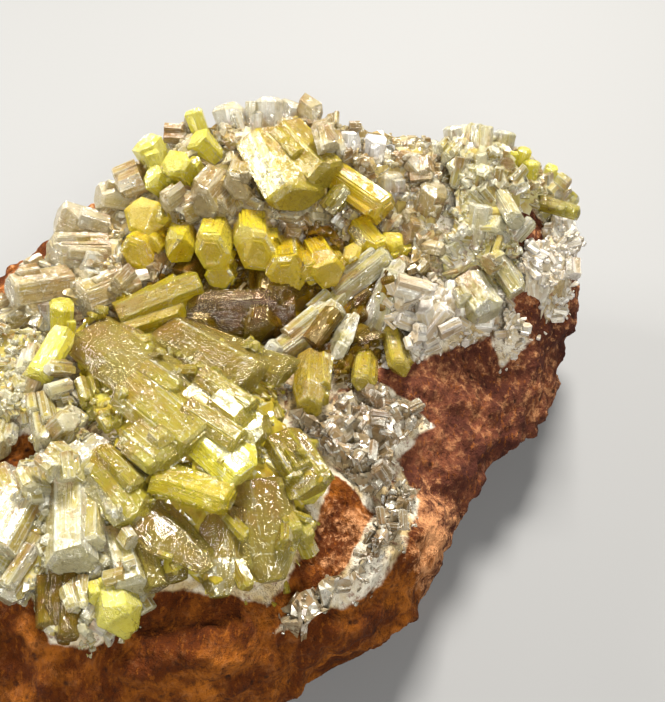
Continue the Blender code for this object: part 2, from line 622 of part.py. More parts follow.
def finished(obj, finish):
    """Gives an object a material of its own."""
    colour, roughness, metallic = finish
    material = bpy.data.materials.new(obj.name)
    material.use_nodes = True
    shader = material.node_tree.nodes["Principled BSDF"]
    shader.inputs["Base Color"].default_value = (*colour, 1.0)
    shader.inputs["Roughness"].default_value = roughness
    shader.inputs["Metallic"].default_value = metallic
    obj.data.materials.clear()
    obj.data.materials.append(material)


# ---------------------------------------------------------------- tools


def new_object(name, bm):
    """A scene object that takes over a bmesh."""
    mesh = bpy.data.meshes.new(name)
    bm.to_mesh(mesh)
    bm.free()
    made = bpy.data.objects.new(name, mesh)
    bpy.context.scene.collection.objects.link(made)
    return made


def applied_mesh(obj):
    """The object's mesh with its modifiers applied, as a bmesh."""
    bpy.context.view_layer.update()
    graph = bpy.context.evaluated_depsgraph_get()
    mesh = bpy.data.meshes.new_from_object(obj.evaluated_get(graph), depsgraph=graph)
    bm = bmesh.new()
    bm.from_mesh(mesh)
    bpy.data.meshes.remove(mesh)
    return bm


def applied(obj):
    """The object's mesh with its modifiers applied, as a bmesh. The object is removed."""
    bm = applied_mesh(obj)
    bpy.data.objects.remove(obj)
    return bm


def clear_scene():
    """Removes every object that the scene starts with."""
    for obj in list(bpy.data.objects):
        bpy.data.objects.remove(obj)


def main():
    """Builds the specimen."""
    clear_scene()
    rock = new_object("matrix", rough_rock(rock_shell(), 0.0, ROCK_TRIANGLES))
    finished(rock, LIMONITE)
    ground = Ground(rock)
    skin = new_object("skin", rough_rock(rock_shell(), BED_HEIGHT * MM, BED_TRIANGLES))
    planted = []
    for cluster in CLUSTERS:
        for solid in plant(cluster, ground, skin, planted):
            finished(solid, cluster.finish)
    for helper in (*planted, skin, ground.clear):
        bpy.data.objects.remove(helper)


if __name__ == "__main__":
    main()
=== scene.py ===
"""Mimetite specimen: honey and lemon yellow hexagonal crystals grown over a lump of rusty limonite.

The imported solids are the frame. This script gives the rock its pits, knobs and colours, models each crystal
that stands out with its bevels, growth steps and frosting, and sows the beds between them with fine crystals.
Sizes are in millimetres and angles in degrees, as the names of values say, until a mesh is made in metres.
"""

import logging
import math
import random
from dataclasses import dataclass, field
from enum import Enum
from typing import Callable, Iterable, Sequence

import bmesh
import bpy
import numpy as np
from mathutils import Euler, Matrix, Vector, noise
from mathutils.bvhtree import BVHTree


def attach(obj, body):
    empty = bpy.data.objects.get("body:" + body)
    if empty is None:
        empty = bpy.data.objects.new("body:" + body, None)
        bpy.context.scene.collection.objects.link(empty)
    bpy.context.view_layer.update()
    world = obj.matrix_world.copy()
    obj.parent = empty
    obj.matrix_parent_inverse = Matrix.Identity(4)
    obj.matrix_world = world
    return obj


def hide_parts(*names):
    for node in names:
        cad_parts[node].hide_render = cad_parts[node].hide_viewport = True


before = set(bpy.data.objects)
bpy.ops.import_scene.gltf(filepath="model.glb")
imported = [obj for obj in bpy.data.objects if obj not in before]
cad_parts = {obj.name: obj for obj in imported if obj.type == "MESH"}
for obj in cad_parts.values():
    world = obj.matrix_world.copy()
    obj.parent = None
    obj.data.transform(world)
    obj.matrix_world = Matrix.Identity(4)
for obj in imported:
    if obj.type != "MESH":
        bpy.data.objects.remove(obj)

MM = 0.001
BODY = "root"
LOG = logging.getLogger("mimetite")

# Round spots where bare rock shows between the crystals: x, y and radius, in millimetres.
BARE_SPOTS = ((24.6, 9.6, 2.2), (24.7, 16.2, 2.4), (-22.0, -8.5, 2.4))
# Round spots where the rock is bright and dusty.
DUST_SPOTS = ((7.0, -14.5, 4.0), (15.0, -11.5, 6.0))

Colour = tuple[float, float, float]
Point = tuple[float, float]


# ---------------------------------------------------------------- modelling tools


def deselect_all() -> None:
    """Leaves nothing selected, so that the next operator acts only on its own piece."""
    for obj in list(bpy.context.selected_objects):
        obj.select_set(False)
    bpy.context.view_layer.objects.active = None


def take(obj: bpy.types.Object) -> None:
    """Selects one object and makes it active.

    Args:
        obj: The object to work on.
    """
    deselect_all()
    obj.select_set(True)
    bpy.context.view_layer.objects.active = obj


def apply_all(obj: bpy.types.Object) -> None:
    """Applies every modifier of an object, in order.

    Args:
        obj: The object whose modifiers are applied.
    """
    take(obj)
    for step in [modifier.name for modifier in obj.modifiers]:
        bpy.ops.object.modifier_apply(modifier=step)


def select_faces(obj: bpy.types.Object, wanted: Callable[[bmesh.types.BMFace], bool]) -> int:
    """Selects faces in edit mode by their place or normal.

    Args:
        obj: The object in edit mode.
        wanted: Says whether a face is selected.

    Returns:
        How many faces are selected.
    """
    bm = bmesh.from_edit_mesh(obj.data)
    bpy.ops.mesh.select_mode(type="FACE")
    for face in bm.faces:
        face.select_set(wanted(face))
    bmesh.update_edit_mesh(obj.data)
    return sum(face.select for face in bm.faces)


def select_edges(obj: bpy.types.Object, wanted: Callable[[bmesh.types.BMEdge], bool]) -> int:
    """Selects edges in edit mode by their place or angle.

    Args:
        obj: The object in edit mode.
        wanted: Says whether an edge is selected.

    Returns:
        How many edges are selected.
    """
    bm = bmesh.from_edit_mesh(obj.data)
    bpy.ops.mesh.select_mode(type="EDGE")
    for face in bm.faces:
        face.select_set(False)
    for edge in bm.edges:
        edge.select_set(wanted(edge))
    bmesh.update_edit_mesh(obj.data)
    return sum(edge.select for edge in bm.edges)


def points_of(mesh: bpy.types.Mesh) -> np.ndarray:
    """A mesh's points, in millimetres."""
    points = np.empty(len(mesh.vertices) * 3)
    mesh.vertices.foreach_get("co", points)
    return points.reshape(-1, 3) / MM


def in_spots(spots: Sequence[tuple[float, float, float]], points: np.ndarray) -> np.ndarray:
    """How far points are in round spots seen from above.

    Args:
        spots: The spots.
        points: The points, in millimetres.

    Returns:
        From 0 outside to 1 in a spot's inner half.
    """
    share = np.zeros(len(points))
    for x, y, radius in spots:
        away = np.hypot(points[:, 0] - x, points[:, 1] - y) / radius
        share = np.maximum(share, np.clip(2 - 2 * away, 0, 1))
    return share


def finish_piece(obj: bpy.types.Object, nodes: Sequence[str]) -> None:
    """Ties a finished piece to the frame.

    Args:
        obj: The piece, at the origin with its place in its mesh.
        nodes: The CAD nodes that the piece stands for.
    """
    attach(obj, BODY)
    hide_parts(*nodes)
    LOG.info("%s: %d faces, for %s", obj.name, len(obj.data.polygons), ", ".join(nodes))


# ---------------------------------------------------------------- shader tools


class Value:
    """A number that varies over a surface. Arithmetic on it adds Math nodes."""

    def __init__(self, graph: "Graph", socket: bpy.types.NodeSocket) -> None:
        """Wraps a socket.

        Args:
            graph: The material that the socket is in.
            socket: An output socket.
        """
        self.graph = graph
        self.socket = socket

    def _math(self, operation: str, *inputs: object, clamp: bool = False) -> "Value":
        """Adds one Math node and returns its result."""
        settings = {"operation": operation, "use_clamp": clamp}
        made = self.graph.node("ShaderNodeMath", settings, dict(enumerate(inputs)))
        return Value(self.graph, made.outputs[0])

    def __add__(self, other: object) -> "Value":
        """The sum."""
        return self._math("ADD", self, other)

    def __radd__(self, other: object) -> "Value":
        """The sum, from the other side."""
        return self._math("ADD", other, self)

    def __sub__(self, other: object) -> "Value":
        """The difference."""
        return self._math("SUBTRACT", self, other)

    def __rsub__(self, other: object) -> "Value":
        """The difference, from the other side."""
        return self._math("SUBTRACT", other, self)

    def __mul__(self, other: object) -> "Value":
        """The product."""
        return self._math("MULTIPLY", self, other)

    def __rmul__(self, other: object) -> "Value":
        """The product, from the other side."""
        return self._math("MULTIPLY", other, self)

    def __pow__(self, other: object) -> "Value":
        """The power."""
        return self._math("POWER", self, other)

    def clamped(self) -> "Value":
        """The value held between 0 and 1."""
        return self._math("ADD", self, 0.0, clamp=True)

    def over(self, low: float, high: float) -> "Value":
        """A soft step from 0 at one value to 1 at another.

        Args:
            low: Where the step starts.
            high: Where it ends, which may be the lower of the two.

        Returns:
            The step's value.
        """
        settings = {"interpolation_type": "SMOOTHSTEP", "clamp": True}
        made = self.graph.node("ShaderNodeMapRange", settings, {"Value": self, "From Min": low, "From Max": high})
        return Value(self.graph, made.outputs["Result"])


class Graph:
    """A material's nodes, made one by one from type, settings and inputs."""

    def __init__(self, name: str) -> None:
        """Starts an empty material.

        Args:
            name: The material's name.
        """
        self.material = bpy.data.materials.new(name)
        self.material.use_nodes = True
        self.tree = self.material.node_tree
        self.tree.nodes.clear()

    def node(self, kind: str, settings: dict | None = None, inputs: dict | None = None) -> bpy.types.Node:
        """Makes one node.

        Args:
            kind: The node's type.
            settings: Its own properties, and a ramp's stops under "stops".
            inputs: Values or links, by input name or index.

        Returns:
            The node.
        """
        made = self.tree.nodes.new(kind)
        for name, value in (settings or {}).items():
            if name == "stops":
                self._set_stops(made.color_ramp, value)
            else:
                setattr(made, name, value)
        for key, value in (inputs or {}).items():
            socket = made.inputs[key]
            if isinstance(value, Value):
                self.tree.links.new(value.socket, socket)
            elif isinstance(value, bpy.types.NodeSocket):
                self.tree.links.new(value, socket)
            elif isinstance(value, tuple) and socket.type == "RGBA":
                socket.default_value = (*value, 1.0)
            else:
                socket.default_value = value
        return made

    @staticmethod
    def _set_stops(ramp: bpy.types.ColorRamp, stops: Sequence[tuple[float, Colour]]) -> None:
        """Sets a colour ramp's stops."""
        while len(ramp.elements) < len(stops):
            ramp.elements.new(1.0)
        for element, (position, colour) in zip(ramp.elements, stops):
            element.position = position
            element.color = (*colour, 1.0)

    def place(self) -> bpy.types.NodeSocket:
        """The point's place in the object's own coordinates, in metres."""
        return self.node("ShaderNodeTexCoord").outputs["Object"]

    def attribute(self, name: str) -> Value:
        """A number stored on the mesh."""
        return Value(self, self.node("ShaderNodeAttribute", {"attribute_name": name}).outputs["Fac"])

    def from_axis(self, name: str) -> tuple[Value, Value]:
        """How far a stored place is from its crystal's axis, and how far along the crystal it is."""
        cell = self.attribute_vector(name)
        flat = self.scaled(cell, (1.0, 1.0, 0.0))
        out = self.node("ShaderNodeVectorMath", {"operation": "LENGTH"}, {0: flat}).outputs["Value"]
        along = self.node("ShaderNodeSeparateXYZ", {}, {0: cell}).outputs["Z"]
        return Value(self, out), Value(self, along)

    def attribute_vector(self, name: str) -> bpy.types.NodeSocket:
        """A vector stored on the mesh."""
        return self.node("ShaderNodeAttribute", {"attribute_name": name}).outputs["Vector"]

    def scaled(self, vector: bpy.types.NodeSocket, factors: Sequence[float]) -> bpy.types.NodeSocket:
        """A vector multiplied by a factor along each axis."""
        made = self.node("ShaderNodeVectorMath", {"operation": "MULTIPLY"}, {0: vector, 1: tuple(factors)})
        return made.outputs[0]

    def noise(self, vector: bpy.types.NodeSocket, scale: float, detail: float = 3.0, rough: float = 0.5,
              distortion: float = 0.0) -> Value:
        """Soft noise from 0 to 1.

        Args:
            vector: Where it is read.
            scale: Its features per unit of the vector.
            detail: Its finer octaves.
            rough: How strong they are.
            distortion: How much it is swirled.

        Returns:
            The noise's value.
        """
        inputs = {"Vector": vector, "Scale": scale, "Detail": detail, "Roughness": rough, "Distortion": distortion}
        return Value(self, self.node("ShaderNodeTexNoise", {}, inputs).outputs[0])

    def cells(self, vector: bpy.types.NodeSocket, scale: float, feature: str = "F1", rand: float = 1.0) -> Value:
        """Distance to the nearest of many scattered points."""
        settings = {"feature": feature}
        inputs = {"Vector": vector, "Scale": scale, "Randomness": rand}
        return Value(self, self.node("ShaderNodeTexVoronoi", settings, inputs).outputs["Distance"])

    def shards(self, vector: bpy.types.NodeSocket, scale: float) -> Value:
        """Small planes, each tilted its own way, like broken faces.

        Args:
            vector: Where they are read.
            scale: How many there are per unit of the vector.

        Returns:
            Their height, in units of the vector.
        """
        cell = self.node("ShaderNodeTexVoronoi", {}, {"Vector": vector, "Scale": scale})
        settings = {"operation": "SUBTRACT"}
        away = self.node("ShaderNodeVectorMath", settings, {0: vector, 1: cell.outputs["Position"]}).outputs[0]
        way = self.node("ShaderNodeVectorMath", settings, {0: cell.outputs["Color"], 1: (0.5, 0.5, 0.5)}).outputs[0]
        dot = self.node("ShaderNodeVectorMath", {"operation": "DOT_PRODUCT"}, {0: away, 1: way})
        return Value(self, dot.outputs["Value"])

    def mix(self, share: object, one: object, other: object) -> bpy.types.NodeSocket:
        """One colour turning into another.

        Args:
            share: How much of the second colour there is, from 0 to 1.
            one: The first colour.
            other: The second colour.

        Returns:
            The mixed colour.
        """
        settings = {"data_type": "RGBA", "clamp_factor": True}
        return self.node("ShaderNodeMix", settings, {0: share, 6: one, 7: other}).outputs[2]

    def bump(self, height: Value, strength: float, distance: float, under: object = None) -> bpy.types.NodeSocket:
        """A bumped normal.

        Args:
            height: The height that is read as bumps.
            strength: From 0 to 1.
            distance: The height of a full bump, in millimetres.
            under: Another bumped normal that this one lies over.

        Returns:
            The normal.
        """
        inputs = {"Height": height, "Strength": strength, "Distance": distance * MM}
        if under is not None:
            inputs["Normal"] = under
        return self.node("ShaderNodeBump", {}, inputs).outputs["Normal"]

    def finish(self, shader: dict, absorb: tuple[Colour, float] | None = None) -> bpy.types.Material:
        """Closes the material with a Principled shader.

        Args:
            shader: The Principled shader's inputs.
            absorb: The colour and density of plain absorption, if light goes through.

        Returns:
            The finished material.
        """
        surface = self.node("ShaderNodeBsdfPrincipled", {}, shader)
        output = self.node("ShaderNodeOutputMaterial", {}, {"Surface": surface.outputs[0]})
        if absorb:
            colour, density = absorb
            volume = self.node("ShaderNodeVolumeAbsorption", {}, {"Color": colour, "Density": density})
            self.tree.links.new(volume.outputs[0], output.inputs["Volume"])
        return self.material


# ---------------------------------------------------------------- finishes


class Cut(Enum):
    """How much of a finish a piece gets, by the size of what it is on."""

    CLEAR = "clear"  # large crystals: threads, seams, broken faces and coloured depth
    PLAIN = "plain"  # the beds' crystals: their own colours and frosted faces
    MASS = "mass"  # the close-grown mass between them: broken faces


@dataclass(frozen=True)
class CrystalFinish:
    """The look of one kind of crystal: its body colours, its veils, its frosting and how light goes through."""

    slot: str
    colours: tuple[Colour, Colour, Colour, Colour]  # from the deepest crystals to the palest
    patch: Colour  # a second colour that drifts through a group of crystals
    veil: Colour
    rim: Colour  # the colour of the painted highlight along its edges and tip
    absorb: Colour
    patched: float = 0.6  # how strong the second colour is
    veiled: float = 0.35  # how much of the body is cloudy
    frosted: float = 0.1  # how many of the faces are frosted
    stained: float = 0.5  # how rusty the roots are
    transmission: float = 0.8
    roughness: float = 0.04
    ior: float = 1.6
    density: float = 120.0
    tilt: float = 0.09  # how much the faces are broken up
    grain: float = 1.5  # broken faces per millimetre
    sparkle: float = 0.8  # how steep the tiny faces are in the sugary parts
    glint: float = 1.0  # how white its seams, threads and painted glint specks are
    frost: Colour = (0.90, 0.88, 0.76)
    stain: Colour = (0.36, 0.15, 0.03)

    def material(self, name: str, cut: Cut) -> bpy.types.Material:
        """Builds the material.

        Args:
            name: The material's name.
            cut: How much of the finish the piece gets.

        Returns:
            The material.
        """
        graph = Graph(name)
        local, place = graph.attribute_vector("local"), graph.place()
        tint, facet = graph.attribute("tint"), graph.attribute("facet")
        broad = graph.noise(place, 230.0, 2.0, 0.6)
        stops = list(zip((0.0, 0.4, 0.75, 1.0), self.colours))
        # Each face is painted a little lighter or darker at random, as painted internal reflections.
        shade = (tint + (broad - 0.5) * 0.7 + (facet - 0.5) * 0.3).clamped()
        body = graph.node("ShaderNodeValToRGB", {"stops": stops}, {0: shade}).outputs[0]
        body = graph.mix(graph.noise(place, 410.0, 1.0).over(0.5, 0.64) * self.patched, body, self.patch)
        clouds = graph.noise(graph.scaled(local, (1.0, 1.0, 0.45)), 1.1, 2.0, 0.65)
        sugar = graph.noise(graph.scaled(local, (1.0, 1.0, 0.5)), 1.8, 3.0, 0.7).over(0.46, 0.56)
        if cut is Cut.MASS:
            white = graph.noise(local, 4.6, 3.0, 0.8).over(0.60, 0.66)
            rusty = (clouds + (broad - 0.5) * 0.5 + 0.1).over(0.60, 0.85)
            normal = graph.bump(graph.shards(local, self.grain * 1.4), 1.0, self.tilt * 1.6)
        else:
            out, along = graph.from_axis("cell")
            # Painted highlight: the outer edges and the tip are painted brighter in the rim colour, as if they caught
            # the light.
            rim = (out.over(0.462, 0.496) + along.over(0.95, 1.0) * 0.7).clamped()
            rusty = (clouds + (1.0 - along) * 0.25 + (broad - 0.5) * 0.5).over(0.60, 0.85)
            body, threads, white = self._depths(graph, local, body, clouds)
            # Painted shade: the core and the root end are painted darker in the deepest colour, to make the crystal
            # look deep and shaded at its foot.
            painted_core_shade = (out.over(0.42, 0.12) * 0.5 + along.over(0.75, 0.0) * 0.35).clamped()
            body = graph.mix(rim * 0.8, graph.mix(painted_core_shade, body, self.colours[0]), self.rim)
            height = threads * 0.09 + graph.shards(local, 4.2) * sugar * self.sparkle
            if cut is Cut.CLEAR:
                height = height + graph.shards(graph.scaled(local, (1.0, 1.0, 0.5)), self.grain) * self.tilt
            normal = graph.bump(height, 1.0, 1.0)
        body = graph.mix(rusty * self.stained, body, self.stain)
        frost = facet.over(1.0 - self.frosted, 1.02 - self.frosted) * (sugar * 0.6 + clouds.over(0.35, 0.6) * 0.4)
        body = graph.mix(frost * 0.8, body, self.frost)
        silver = (frost * 0.5 + white * sugar * 0.4).clamped()
        through = {Cut.CLEAR: self.transmission, Cut.PLAIN: self.transmission * 0.9, Cut.MASS: 0.3}[cut]
        shader = {
            "Base Color": body, "Roughness": frost * 0.25 + self.roughness, "Normal": normal, "IOR": self.ior,
            "Transmission Weight": through, "Metallic": silver,
        }
        return graph.finish(shader, (self.absorb, self.density) if cut is Cut.CLEAR else None)

    def _depths(self, graph: Graph, local: bpy.types.NodeSocket, body: bpy.types.NodeSocket,
                clouds: Value) -> tuple[bpy.types.NodeSocket, Value, Value]:
        """Adds what is seen inside a crystal, veils and white threads and seams, and paints white glints on it.

        Args:
            graph: The material.
            local: The point's place in its crystal.
            body: The crystal's colour so far.
            clouds: Soft noise along the crystal.

        Returns:
            The colour, the threads for the bump, and where it is white, the painted glints included.
        """
        threads = graph.noise(graph.scaled(local, (1.0, 1.0, 0.06)), 6.5, 3.0, 0.65)
        seams = graph.cells(graph.scaled(local, (0.4, 1.0, 0.7)), 0.8, "DISTANCE_TO_EDGE")
        cloudy = (clouds + (threads - 0.5) * 0.4).over(0.72 - 0.3 * self.veiled, 0.88 - 0.3 * self.veiled)
        body = graph.mix(cloudy * 0.6, body, self.veil)
        # Painted glints: small white specks that stand for light caught on tiny faces.
        painted_glint_specks = graph.noise(local, 4.6, 3.0, 0.8).over(0.62, 0.68)
        # White is the real seams and threads plus the painted glints; all are whitened with the frost colour below.
        white = (seams.over(0.03, 0.0) * threads.over(0.45, 0.55) + threads.over(0.60, 0.68) * 0.6 + painted_glint_specks).clamped()
        white = white * self.glint
        body = graph.mix(threads.over(0.44, 0.34) * 0.3, body, self.colours[0])
        body = graph.mix(threads.over(0.54, 0.62) * 0.5, body, self.veil)
        return graph.mix(white * 0.7, body, self.frost), threads, white


@dataclass(frozen=True)
class RockFinish:
    """Rusty limonite: orange-brown earth, purple-brown crust, ochre dust and dark pits."""

    slot: str = "limonite"
    rust: Colour = (0.080, 0.017, 0.001)
    orange: Colour = (0.310, 0.092, 0.007)
    liver: Colour = (0.060, 0.016, 0.009)
    brown: Colour = (0.155, 0.047, 0.021)
    dust: Colour = (0.520, 0.240, 0.100)
    dark: Colour = (0.022, 0.007, 0.003)
    crust: Colour = (0.46, 0.34, 0.16)
    chalk: Colour = (0.72, 0.66, 0.52)

    def material(self, name: str) -> bpy.types.Material:
        """Builds the material.

        Args:
            name: The material's name.

        Returns:
            The material.
        """
        graph = Graph(name)
        place = graph.place()
        covered, side, dusty = (graph.attribute(key) for key in ("covered", "liver_side", "dusty"))
        broad = graph.noise(place, 75.0, 3.0, 0.6)
        patches = graph.noise(place, 240.0, 4.0, 0.65, 0.4)
        grain = graph.noise(place, 1250.0, 4.0, 0.75)
        streaks = graph.noise(graph.scaled(place, (1.0, 0.5, 0.4)), 2600.0, 3.0, 0.65)
        pits = graph.cells(place, 620.0)

        earth = graph.mix(patches.over(0.42, 0.70), self.rust, self.orange)
        shell = graph.mix(patches.over(0.36, 0.66), self.liver, self.brown)
        body = graph.mix((side + (broad - 0.5) * 1.4).over(0.3, 0.75), earth, shell)
        body = graph.mix((grain + (patches - 0.5) * 0.5).over(0.50, 0.72) * (dusty * 1.0 + 0.12), body, self.dust)
        body = graph.mix(grain.over(0.46, 0.30) * 0.6, body, self.dark)
        body = graph.mix(streaks.over(0.46, 0.32) * 0.45, body, self.dark)
        # Orange along the fibres: partly the rock's own colour, partly painted highlights on the fibres.
        body = graph.mix(streaks.over(0.56, 0.68) * 0.4, body, self.orange)
        body = graph.mix(pits.over(0.20, 0.06) * patches.over(0.42, 0.56) * 0.85, body, self.dark)
        body = graph.mix((dusty - 1.0).clamped() * (grain + patches - 0.5).over(0.35, 0.65) * 0.6, body, self.dust)
        bed = graph.mix(patches.over(0.4, 0.65), self.crust, self.chalk)
        bed = graph.mix(grain.over(0.5, 0.35) * 0.7, bed, self.brown)
        under = (covered + (patches - 0.5) * 0.9).over(0.42, 0.62)
        body = graph.mix(under, body, bed)

        height = grain * 1.3 + streaks * 0.45 + patches * 0.6 - pits.over(0.22, 0.0) * 0.5
        normal = graph.bump(height, 1.0, 0.5)
        shader = {"Base Color": body, "Roughness": 0.95, "Normal": normal, "Specular IOR Level": 0.15}
        return graph.finish(shader)


@dataclass(frozen=True)
class FloorFinish:
    """A plain pale studio floor."""

    paint: Colour = (0.22, 0.22, 0.215)

    def material(self, name: str) -> bpy.types.Material:
        """Builds the material.

        Args:
            name: The material's name.

        Returns:
            The material.
        """
        graph = Graph(name)
        faint = graph.noise(graph.place(), 6.0, 2.0)
        body = graph.mix(faint * 0.2, self.paint, (0.24, 0.24, 0.235))
        return graph.finish({"Base Color": body, "Roughness": 0.75})


LEMON = CrystalFinish(
    "lemon_crystal",
    ((0.65, 0.49, 0.012), (0.75, 0.63, 0.036), (0.80, 0.71, 0.066), (0.82, 0.76, 0.19)),
    patch=(0.79, 0.68, 0.036), veil=(0.82, 0.76, 0.19), rim=(0.83, 0.76, 0.11), absorb=(0.96, 0.90, 0.25), stained=0.05,
    transmission=0.5,
)
YELLOW = CrystalFinish(
    "yellow_crystal",
    ((0.46, 0.28, 0.002), (0.60, 0.42, 0.005), (0.70, 0.54, 0.012), (0.75, 0.66, 0.053)),
    patch=(0.67, 0.51, 0.007), veil=(0.72, 0.61, 0.043), rim=(0.54, 0.45, 0.012), absorb=(0.95, 0.82, 0.12), stained=0.1,
    glint=0.6, frost=(0.90, 0.86, 0.62), transmission=0.6,
)
HONEY = CrystalFinish(
    "honey_crystal",
    ((0.63, 0.36, 0.004), (0.79, 0.53, 0.007), (0.92, 0.71, 0.014), (0.94, 0.81, 0.084)),
    patch=(0.84, 0.52, 0.007), veil=(0.90, 0.70, 0.066), rim=(0.92, 0.73, 0.029), absorb=(0.95, 0.79, 0.12), stained=0.2,
    glint=0.6, frost=(0.90, 0.86, 0.62), transmission=0.6,
)
OLIVE = CrystalFinish(
    "olive_crystal",
    ((0.34, 0.21, 0.012), (0.46, 0.33, 0.021), (0.55, 0.43, 0.036), (0.61, 0.52, 0.09)),
    patch=(0.46, 0.32, 0.012), veil=(0.53, 0.43, 0.072), rim=(0.55, 0.44, 0.039), absorb=(0.95, 0.82, 0.26), stained=0.35,
    glint=0.7, frost=(0.90, 0.86, 0.62), transmission=0.5,
)
STRAW = CrystalFinish(
    "straw_crystal",
    ((0.29, 0.19, 0.014), (0.39, 0.29, 0.028), (0.46, 0.39, 0.042), (0.51, 0.46, 0.085)),
    patch=(0.42, 0.32, 0.016), veil=(0.50, 0.46, 0.11), rim=(0.44, 0.37, 0.028), absorb=(0.95, 0.83, 0.34), stained=0.35,
    veiled=0.6, glint=0.7, frost=(0.90, 0.86, 0.62), transmission=0.55,
)
TAN = CrystalFinish(
    "straw_crystal",
    ((0.23, 0.15, 0.021), (0.34, 0.25, 0.042), (0.42, 0.34, 0.072), (0.49, 0.44, 0.14)),
    patch=(0.31, 0.23, 0.027), veil=(0.35, 0.31, 0.11), rim=(0.38, 0.31, 0.036), absorb=(0.88, 0.74, 0.44), veiled=0.5, stained=0.4,
    glint=0.8, frost=(0.90, 0.86, 0.62), transmission=0.6,
)
SMOKY = CrystalFinish(
    "smoky_crystal",
    ((0.09, 0.039, 0.001), (0.15, 0.077, 0.002), (0.21, 0.13, 0.005), (0.28, 0.19, 0.018)),
    patch=(0.18, 0.097, 0.002), veil=(0.20, 0.14, 0.011), rim=(0.21, 0.14, 0.013), absorb=(0.90, 0.70, 0.22), veiled=0.25, stained=0.4,
    sparkle=0.4, glint=0.4, roughness=0.07, ior=1.45, frost=(0.55, 0.42, 0.20), transmission=0.6,
)
DRUSE = CrystalFinish(
    "druse",
    ((0.32, 0.20, 0.068), (0.49, 0.36, 0.14), (0.64, 0.55, 0.30), (0.76, 0.76, 0.68)),
    patch=(0.59, 0.46, 0.10), veil=(0.66, 0.58, 0.42), rim=(0.63, 0.55, 0.34), absorb=(0.94, 0.82, 0.50), frosted=0.16, stained=0.45,
    transmission=0.52, grain=1.2,
)
PALE = CrystalFinish(
    "pale_crystal",
    ((0.38, 0.27, 0.067), (0.53, 0.45, 0.14), (0.65, 0.58, 0.32), (0.72, 0.69, 0.60)),
    patch=(0.64, 0.54, 0.10), veil=(0.69, 0.64, 0.47), rim=(0.71, 0.69, 0.49), absorb=(0.94, 0.88, 0.56), frosted=0.2, stained=0.5,
    transmission=0.52, grain=1.2,
)
CHALK = CrystalFinish(
    "white_crust",
    ((0.47, 0.36, 0.20), (0.63, 0.54, 0.36), (0.74, 0.69, 0.56), (0.80, 0.77, 0.72)),
    patch=(0.62, 0.47, 0.23), veil=(0.74, 0.68, 0.60), rim=(0.75, 0.71, 0.67), absorb=(0.94, 0.90, 0.70), frosted=0.3,
    stained=0.2, transmission=0.3, roughness=0.3, tilt=0.35, grain=1.5,
)
CRUST = CrystalFinish(
    "white_crust",
    ((0.18, 0.12, 0.052), (0.29, 0.21, 0.11), (0.41, 0.35, 0.22), (0.53, 0.50, 0.41)),
    patch=(0.28, 0.19, 0.081), veil=(0.44, 0.38, 0.28), rim=(0.52, 0.48, 0.38), absorb=(0.94, 0.90, 0.70), frosted=0.2,
    stained=0.3, transmission=0.45, roughness=0.2, tilt=0.35, grain=1.5,
)


# ---------------------------------------------------------------- crystals


class Habit(Enum):
    """The forms that the crystals take."""

    PRISM = "prism"  # long, with a bevelled flat end
    STEPPED = "stepped"  # long, with growth steps on its end and sides
    STUB = "stub"  # short and blocky
    BARREL = "barrel"  # fat in the middle
    BLADE = "blade"  # flat and pointed
    GRAIN = "grain"  # the smallest crystals


@dataclass(frozen=True)
class Crystal:
    """One crystal that stands out: its root on the rock, the way it points, its size and its form."""

    x: float  # of the root, in millimetres
    y: float
    lift: float  # of the root over the rock
    azimuth: float  # the way it points, in degrees: 0 is +X and 90 is +Y
    lean: float  # away from straight up, in degrees
    width: float
    length: float
    habit: Habit = Habit.PRISM
    flat: float = 1.0  # thickness as a share of the width
    roll: float = 30.0  # turn about its own length, in degrees
    tint: float = 0.5  # from its finish's deep colour to its bright one


@dataclass
class Pattern:
    """A modelled crystal, one wide and some widths long, read as arrays to be copied from."""

    points: np.ndarray
    triangles: np.ndarray
    facets: np.ndarray
    length: float


